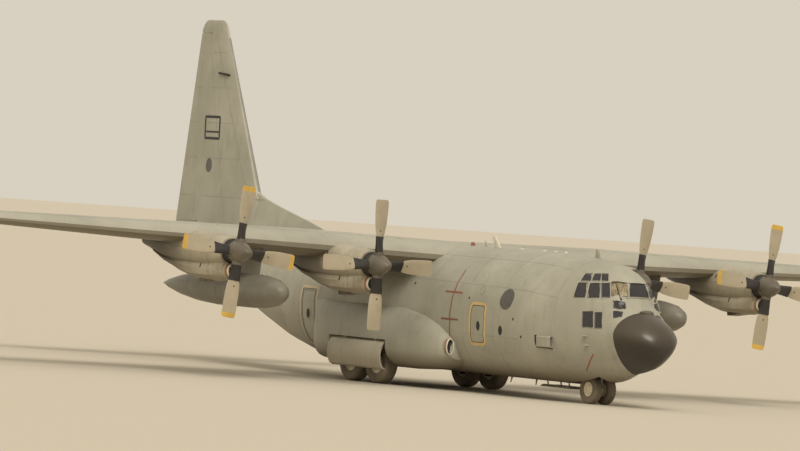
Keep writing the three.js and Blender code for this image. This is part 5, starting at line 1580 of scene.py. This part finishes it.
# Where round seams stand, paths of (x, height over the axis), and (path, width) of the slots.
COWL_JOINTS = (3.45, 1.92, 0.85)
FLANK_SEAMS = ([(3.98, 0.02), (1.0, 0.02)], [(3.44, -0.44), (1.0, -0.34)])
FLANK_SLOTS = (([(3.04, -0.44), (3.04, -0.57)], 0.045), ([(2.35, 0.18), (2.35, 0.30)], 0.05))
cowl_lines, slots, flaps = [], [], []
for engine, (y, z, _) in ENGINES.items():
    cowl_lines += [round_cowl(engine, x, -205, 25) for x in COWL_JOINTS]
    cowl_lines.append(round_cowl(engine, COWL_JOINTS[0], 25, 155))
    for hand in (1, -1):
        cowl_lines += [beside_cowl(engine, hand, path) for path in FLANK_SEAMS]
        for path, width in FLANK_SLOTS:
            slots.append(drape(beside_cowl(engine, hand, path, 0.02), width, 0.008, -0.03))
    bottom = [meet(cowl_rays, (x, y, z - 2), (0, 0, 1))[0] for x in (3.20, 2.66)]
    hinge, end = bottom[0], bottom[1] + Vector((0, 0, -0.09))
    rings = [
        [(x, y - 0.24, top), (x, y + 0.24, top), (x, y + 0.21, low), (x, y - 0.21, low)]
        for x, top, low in ((hinge.x + 0.05, hinge.z + 0.06, hinge.z), (end.x, end.z + 0.15, end.z))
    ]
    flaps.append(stretch(rings))
    # Painted shade: a dark box fills the opening between the flap's end and the cowl.
    slots.append(box((end.x - 0.006, y - 0.19, end.z + 0.015), (end.x + 0.01, y + 0.19, end.z + 0.13)))
dress("cowl_seams", seam_strips(cowl_lines, WIDE_SEAM), "cowl_seam")
dress("cowl_slots", slots, "dark")
dress("oil_cooler_outlets", flaps, "bare")
rivets("cowl_rivets", cowl_lines, "cowl")
print("cowl seams:", len(cowl_lines))

# %% [markdown]
# ## Landing gear details
# The solids give the legs, axles and doors. Added here: the dark brake drum inside each
# main wheel, the hinged links that stop a strut from turning, rods that hold the gear
# doors, hoses, axle nuts, and on the nose leg the steering cylinders and taxi lamps.

# %% Main gear
def link(at, lower, knee, upper, half, thick):
    """Two flat arms from lower to knee to upper, points of (x, z) in the plane y = at."""
    arms = []
    for ends in (((*lower, half), (*knee, half * 0.5)), ((*knee, half * 0.5), (*upper, half))):
        rings = []
        for x, z, wide in ends:
            sides = ((-thick, -wide), (-thick, wide), (thick, wide), (thick, -wide))
            rings.append([(x + ahead, at + aside, z) for ahead, aside in sides])
        arms.append(stretch(rings))
    return joined(*arms)


WHEEL_X, WHEEL_Y, AXLE_Z, _ = MAIN_WHEEL.values()
LINK_Y = 1.80
# Profiles of (distance along the axle, radius), and a hose's points: ahead of the axle, aside, height.
DRUM = ((0.27, 0.075), (0.27, 0.19), (0.25, 0.225), (0.085, 0.232), (0.085, 0.075))
NUT = ((0.165, 0.002), (0.165, 0.05), (0.20, 0.045), (0.205, 0.002))
HOSE = ((-0.10, 1.82, 1.30), (-0.15, 1.84, 1.05), (-0.12, 1.88, 0.86), (-0.05, 1.90, 0.80))
LOWER_PIN, KNEE, UPPER_PIN = (0.09, 0.72), (0.30, 0.94), (0.10, 1.18)
drums, links, hoses, rods, nuts = [], [], [], [], []
for hand in (1, -1):
    for way in (1, -1):
        x = way * WHEEL_X
        middle = (x, hand * WHEEL_Y, AXLE_Z)
        pins = [(x + way * ahead, z) for ahead, z in (LOWER_PIN, KNEE, UPPER_PIN)]
        drums.append(turned([(-hand * a, r) for a, r in DRUM], middle, "y", 36))
        links.append(link(hand * LINK_Y, *pins, 0.07, 0.018))
        knee_x, knee_z = pins[1]
        links.append(pipe([(knee_x, hand * LINK_Y + end, knee_z) for end in (-0.06, 0.06)], 0.03, 12))
        hoses.append(pipe([(x + way * ahead, hand * y, z) for ahead, y, z in HOSE], 0.012, 8))
        nuts.append(turned([(hand * a, r) for a, r in NUT], middle, "y", 6))
    for x in (1.42, 0.1, -1.42):
        start, end = Vector((x, hand * 2.44, 1.43)), Vector((x, hand * 2.735, 0.98))
        rods.append(pipe([start, end], 0.022, 10))
        rods.append(pipe([end - Vector((0.05, 0, 0)), end + Vector((0.05, 0, 0))], 0.035, 12))
    for z in (0.72, 1.16):
        inner = 2.56 + 0.25 * math.sin(math.pi * (z - 0.47) / 0.93) - 0.06
        rods.append(pipe([(1.52, hand * inner, z), (-1.52, hand * inner, z)], 0.018, 8))
dress("brake_drums", drums, "dark")
dress("main_gear_links", links, "steel")
dress("brake_hoses", hoses, "dark", crease=50)
dress("main_gear_door_rods", rods, "steel")
dress("axle_nuts", nuts, "bare")
print(len(drums), "brake drums,", len(rods), "door rods")

# %% Nose gear
nose_x = NOSE_WHEEL["x"]
STEERING_HEIGHT = 1.13
LAMP_HEIGHT = 1.22
LAMP = (
    (-0.06, 0.002), (-0.06, 0.03), (0.0, 0.075), (0.035, 0.08), (0.035, 0.07), (0.02, 0.068), (0.02, 0.002),
)
LAMP_GLASS = ((0.021, 0.002), (0.021, 0.067), (0.03, 0.06), (0.036, 0.002))
NOSE_HOSE = ((-0.09, 0.05, 0.94), (-0.16, 0.06, 0.80), (-0.15, 0.06, 0.62), (-0.08, 0.05, 0.52))
steering = []
for side in (1, -1):
    ends = [(nose_x - aft, side * aside, STEERING_HEIGHT) for aft, aside in ((0.02, 0.13), (0.34, 0.19))]
    steering.append(pipe(ends, 0.035, 14))
steering += [pipe([(nose_x, 0, z), (nose_x, 0, z + 0.03)], 0.112, 24) for z in (1.02, 1.20)]
dress("nose_steering_cylinders", steering, "steel")
lamps, lenses = [], []
for side in (1, -1):
    middle = (nose_x + 0.135, side * 0.15, LAMP_HEIGHT)
    lamps.append(turned(LAMP, middle, "x", 24))
    lenses.append(turned(LAMP_GLASS, middle, "x", 24))
    arm = [(nose_x + ahead, side * aside, LAMP_HEIGHT) for ahead, aside in ((0.05, 0.05), (0.09, 0.13))]
    lamps.append(pipe(arm, 0.018, 8))
dress("taxi_lamps", lamps, "steel")
dress("taxi_lamp_lenses", lenses, "lens")
nose_hose = pipe([(nose_x + ahead, y, z) for ahead, y, z in NOSE_HOSE], 0.010, 8)
piece("nose_gear_hose", *nose_hose, "nose_steering", "dark", 50)
print(len(lenses), "taxi lamps and a hose on the nose leg")

# %% Ribs inside the nose gear's door
DOOR_INSIDE = 0.438
ribs = []
for x in (8.7, 8.2, 7.7, 7.25):
    half = 0.40 if x > 7.3 else 0.36
    ribs.append(box((x - 0.015, -half, DOOR_INSIDE), (x + 0.015, half, 0.47)))
for y in (0.25, -0.25):
    ribs.append(box((7.2, y - 0.012, DOOR_INSIDE), (8.8, y + 0.012, 0.475)))
dress("nose_door_ribs", ribs, "cowl")
print(len(ribs), "ribs in the nose gear's door")

# %% [markdown]
# ## Wing, tail, tank and door details
# Each moving surface carries its own seams, so that they swing with it. Fin and tailplane
# have a thin dark line along the leading edge, where the skins meet. The tips carry
# lights, the ailerons have discharge wicks, and the rear doors show their ribs as rows
# of rivets.

# %% Lines along the leading edges
def edge_line(tree, stations, aim, reach, spread, count=9):
    """A skin round a leading edge. Rays come from ahead of the stations, which are points on
    it, and spread to both sides along the axis that aim gives."""
    rings = []
    for start in stations:
        origins = [
            Vector(start) + Vector(aim) * spread * k + Vector((reach, 0, 0))
            for k in np.linspace(-1, 1, count)
        ]
        hits = [meet(tree, origin, (-1, 0, 0)) for origin in origins]
        hits = [hit for hit in hits if hit is not None and hit[0].x > start[0] - 0.6]
        if len(hits) < count:
            continue
        rings.append([p + out * 0.005 for p, out in hits] + [p - out * 0.012 for p, out in hits[::-1]])
    return stretch(rings)


fin_stations = [(fin_front(z), 0, z) for z in np.linspace(5.87, 11.0, 31)]
piece("fin_edge_line", *edge_line(fin_rays, fin_stations, (0, 1, 0), 3, 0.035), "airframe", "tank", 40)
TAILPLANE_HEIGHT = 4.4
tail_front = []
for side in (1, -1):
    stations = []
    for y in np.linspace(1.0, 7.6, 24):
        leading = float(np.interp(y, [0.8, 7.8], [-11.2, -12.7]))
        stations.append((leading, side * y, TAILPLANE_HEIGHT))
    tail_front.append(edge_line(tail_rays, stations, (0, 0, 1), 3, 0.03, 7))
dress("tailplane_edge_lines", tail_front, "tank", crease=40)
print(len(fin_stations), "stations along the fin")

# %% Fin aerial and rudder seals
AERIAL = ((-13.54, 9.80), (-13.2, 9.77), (-12.95, 9.74))
aerial = [meet(fin_rays, (x, -3, z), (0, 1, 0))[0] + Vector((0, -0.05, 0)) for x, z in AERIAL]
legs = [pipe([p + Vector((0, 0.08, 0)), p], 0.02, 8) for p in (aerial[0], aerial[2])]
dress("fin_aerial", [pipe(aerial, 0.035, 10), *legs], "dark", crease=50)
RUDDER_ENDS = ((1, 11.15), (-1, 4.74))
rudder_rays = ray_tree("rudder")
seals = []
for way, height in RUDDER_ENDS:
    rings = []
    for x in np.linspace(-14.40, -15.93, 18):
        end = meet(rudder_rays, (x, 0, 8 + way * 6), (0, 0, -way))
        side = meet(rudder_rays, (x, 3, end[0].z - way * 0.03), (0, -1, 0)) if end else None
        if side and abs(end[0].z - height) < 0.02:
            near, far = [end[0].z + way * rise for rise in (0.001, 0.03)]
            half = max(0.006, side[0].y - 0.006)
            rings.append([(x, half, near), (x, half, far), (x, -half, far), (x, -half, near)])
    seals.append(stretch(rings))
dress("rudder_end_seals", seals, "skin")
print("fin aerial and", len(seals), "rudder seals")

# %% Seams on moving surfaces
def lines_on(name, paths, cast):
    """Draped seams on one moving body, cast by from_side or from_above from both of its faces."""
    tree = ray_tree(name)
    return [cast(tree, path, way, step=LONG_STEP) for path in paths for way in (1, -1)]


def moving_box(name):
    """The lowest and highest corner of a solid, in real metres."""
    corners = np.array([real(v.co) for v in nodes[name].data.vertices])
    return corners.min(axis=0), corners.max(axis=0)


KINDS = ("flap_inner", "flap_outer", "aileron", "elevator")
SURFACES = [f"{kind}_{side}" for kind in KINDS for side in ("left", "right")]
for name in SURFACES:
    (back, right, _), (front, left, _) = moving_box(name)
    ends = [right + (left - right) * k / 4 for k in (1, 2, 3)]
    paths = [[(back + 0.05, y), (front - 0.02, y)] for y in ends]
    if "flap" not in name:
        inner = right if abs(right) < abs(left) else left
        outer = inner + (left + right - 2 * inner) * 0.55
        middle = back + (front - back) * 0.36
        paths.append([(middle, inner + math.copysign(0.05, outer)), (middle, outer)])
    hits = lines_on(name, paths, from_above)
    dress(name + "_seams", seam_strips(hits), "seam", name)
    rivets(name + "_rivets", hits, "wing", name, spacing=0.16)
rudder_lines = [[(-16.3, z), (-14.7, z)] for z in FIN_RIBS] + [[(-15.75, 5.0), (-15.75, 7.9), (-16.3, 7.9)]]
rudder_hits = lines_on("rudder", rudder_lines, from_side)
dress("rudder_seams", seam_strips(rudder_hits), "seam", "rudder")
rivets("rudder_rivets", rudder_hits, "skin", "rudder", spacing=0.16)
print("seams on", len(SURFACES), "moving surfaces and the rudder")

# %% Ribs of the rear doors
REAR_DOORS = {
    "cargo_ramp": ((-5.0, -5.8, -6.6, -7.3), (0.0, 0.7, -0.7)),
    "aft_cargo_door": ((-8.4, -9.3, -10.2, -11.1), (0.0, 0.45, -0.45)),
}
for name, (stations, offsets) in REAR_DOORS.items():
    tree = ray_tree(name)
    (back, right, _), (front, left, _) = moving_box(name)
    hits = [from_above(tree, [(x, right + 0.06), (x, left - 0.06)], 1, step=0.12) for x in stations]
    hits += [from_above(tree, [(back + 0.1, y), (front - 0.1, y)], 1, step=0.12) for y in offsets]
    dress(name + "_seams", seam_strips(hits), "seam", name)
    rivets(name + "_rivets", hits, "skin", name)
print("rows of rivets on", len(REAR_DOORS), "rear doors")

# %% Tanks
tank_rays = ray_tree("tank_left", "tank_right")
TANK_Y, TANK_Z = 7.71, 2.72
TANK_JOINTS = (2.55, 1.75, 0.1, -1.75, -2.9)
TANK_CAP = [(-0.01, 0.16, 0.16, 0), (0.012, 0.15, 0.15, 0), (0.016, 0.10, 0.10, 0)]
tank_lines, caps = [], []
for hand in (1, -1):
    middle = Vector((0, hand * TANK_Y, TANK_Z))
    ways = [Vector((0, math.cos(a), math.sin(a))) for a in np.radians(np.arange(0, 361, 6))]
    for x in TANK_JOINTS:
        tank_lines.append([meet(tank_rays, middle + Vector((x, 0, 0)) + way * 0.9, -way) for way in ways])
    for face in (1, -1):
        starts = [middle + Vector((x, face * 0.9, 0.13)) for x in np.arange(2.5, -2.9, -0.2)]
        tank_lines.append([meet(tank_rays, start, (0, -face, 0)) for start in starts])
    filler = meet(tank_rays, middle + Vector((2.1, 0, 2)), (0, 0, -1))
    caps.append(stub(skin_axes(filler), TANK_CAP, 20))
dress("tank_seams", seam_strips(tank_lines, WIDE_SEAM), "cowl_seam")
dress("tank_caps", caps, "steel")
lines_per_tank = len(tank_lines) // 2
joint_lines = [tank_lines[k] for k in range(len(tank_lines)) if k % lines_per_tank < len(TANK_JOINTS)]
rivets("tank_rivets", joint_lines, "tank")
print(len(joint_lines), "joints round the tanks")


# %% Tip lights and wicks
def foremost(tree, start, way, y, heights):
    """The first point that rays along X meet at a station, over a range of heights."""
    found = [meet(tree, (start, y, z), (way, 0, 0)) for z in heights]
    return max((hit[0] for hit in found if hit), key=lambda place: -way * place.x)


TIP_STATION = 19.6
AHEAD_OF_WING = 8
LIGHT = [(-0.01, 0.20, 0.07, 0), (0.01, 0.18, 0.06, 0), (0.03, 0.10, 0.035, 0)]
for hand, look in ((1, "red"), (-1, "green")):
    edge = foremost(wing_rays, AHEAD_OF_WING, -1, hand * TIP_STATION, np.arange(3.6, 5.1, 0.012))
    tip = meet(wing_rays, (edge.x - 0.35, hand * 22, edge.z + 0.02), (0, -hand, 0))
    piece(f"tip_light_{look}", *stub(skin_axes(tip), LIGHT, 14), "airframe", look, 40)
WICK_SHARES = (0.2, 0.4, 0.6, 0.8, 0.95)
for hand, word in ((1, "left"), (-1, "right")):
    name = f"aileron_{word}"
    (back, low, _), (_, high, _) = moving_box(name)
    tree, wicks = ray_tree(name), []
    for share in WICK_SHARES:
        y = low + (high - low) * (share if hand > 0 else 1 - share)
        edge = foremost(tree, back - 1, 1, y, np.arange(4.2, 4.8, 0.01))
        wicks.append(pipe([edge + Vector((0.03, 0, 0)), edge - Vector((0.20, 0, 0.02))], 0.006, 6))
    dress(name + "_wicks", wicks, "dark", name, 50)
print("lights and wicks placed")

# %% Crew door
crew_rays = ray_tree("crew_door")
CREW_PORT = (8.86, 1.66)
port = patch(crew_rays, disc(*CREW_PORT, 0.10, 0.12, 24), 1, 0.005, 3)
port_rim = side_loop(crew_rays, disc(*CREW_PORT, 0.12, 0.14, 24), 1, 0.025, 0.010, step=0.03)
piece("crew_door_window", *port, "crew_door", "glass", 30)
piece("crew_door_window_rim", *port_rim, "crew_door", "skin", 30)
handle = from_side(crew_rays, [(9.02, 1.30), (9.14, 1.30)], 1, step=0.03)
piece("crew_door_handle", *drape(handle, 0.035, 0.014), "crew_door", "steel", 30)
print("crew door dressed")

# %% The gear fairings' intakes
mouth_rays = ray_tree("gear_fairing_left", "gear_fairing_right", "forward_fuselage", "centre_fuselage")
AIR_DUCT_Y, AIR_DUCT_Z = 2.20, 1.40
FAIRING_ROWS = {
    "duct": (
        "cowl",
        [
            (4.15, 0.10, 0.20), (4.42, 0.132, 0.242), (4.56, 0.150, 0.260), (4.64, 0.150, 0.260),
            (4.64, 0.12, 0.23), (4.15, 0.09, 0.18),
        ],
    ),
    "scorch": (
        "rust", [(4.565, 0.155, 0.266), (4.632, 0.156, 0.267), (4.632, 0.13, 0.24), (4.565, 0.13, 0.24)]
    ),
    "lip": (
        "pale",
        [
            (4.628, 0.154, 0.264), (4.655, 0.153, 0.262), (4.672, 0.144, 0.252), (4.677, 0.132, 0.240),
            (4.670, 0.120, 0.229), (4.628, 0.114, 0.222),
        ],
    ),
}
for kind, (look, rows) in FAIRING_ROWS.items():
    both = [ovals(rows, hand * AIR_DUCT_Y, AIR_DUCT_Z, 36, closed=True) for hand in (1, -1)]
    dress(f"fairing_intake_{kind}s", both, look)


THROAT_DEEPEST, THROAT_FOREMOST = 4.3, 4.655


def throat_point(y, z):
    """A point just ahead of the skin, but no deeper than the duct and not past its lip."""
    hit = meet(mouth_rays, (7, y, z), (-1, 0, 0))
    skin_x = hit[0].x if hit else THROAT_DEEPEST
    return Vector((min(THROAT_FOREMOST, max(skin_x, THROAT_DEEPEST) + 0.012), y, z))


# Painted shade: each intake is closed by a dark plate just inside its lip, for the unlit duct.
throats = []
for hand in (1, -1):
    layers = []
    for share in (0.02, 0.3, 0.6, 0.85, 1.0):
        loop = disc(hand * AIR_DUCT_Y, AIR_DUCT_Z, 0.121 * share, 0.229 * share, 28)
        layers.append([throat_point(y, z) for y, z in loop])
    behind = [[p - Vector((0.008, 0, 0)) for p in ring] for ring in layers[::-1]]
    throats.append(stretch(layers + behind))
dress("fairing_intake_throats", throats, "dark")
print(len(throats), "intakes on the gear fairings")

# %% Steps inside the crew door
(_, _, door_low), (_, _, door_high) = moving_box("crew_door")
STEP_FRONT, STEP_BACK = 9.10, 8.62
steps, brackets = [], []
for share in (0.25, 0.5, 0.75):
    z = door_low + (door_high - door_low) * share
    inner = [meet(crew_rays, (x, 0.2, z), (0, 1, 0)) for x in (STEP_BACK, STEP_FRONT)]
    if all(inner):
        wall = min(hit[0].y for hit in inner)
        steps.append(box((STEP_BACK, wall - 0.09, z - 0.012), (STEP_FRONT, wall + 0.03, z + 0.012)))
        for x in (STEP_BACK - 0.02, STEP_FRONT):
            brackets.append(box((x, wall - 0.085, z - 0.05), (x + 0.02, wall + 0.03, z + 0.05)))
dress("crew_door_steps", steps, "steel", "crew_door")
dress("crew_door_step_brackets", brackets, "cowl", "crew_door")
print(len(steps), "steps inside the crew door")
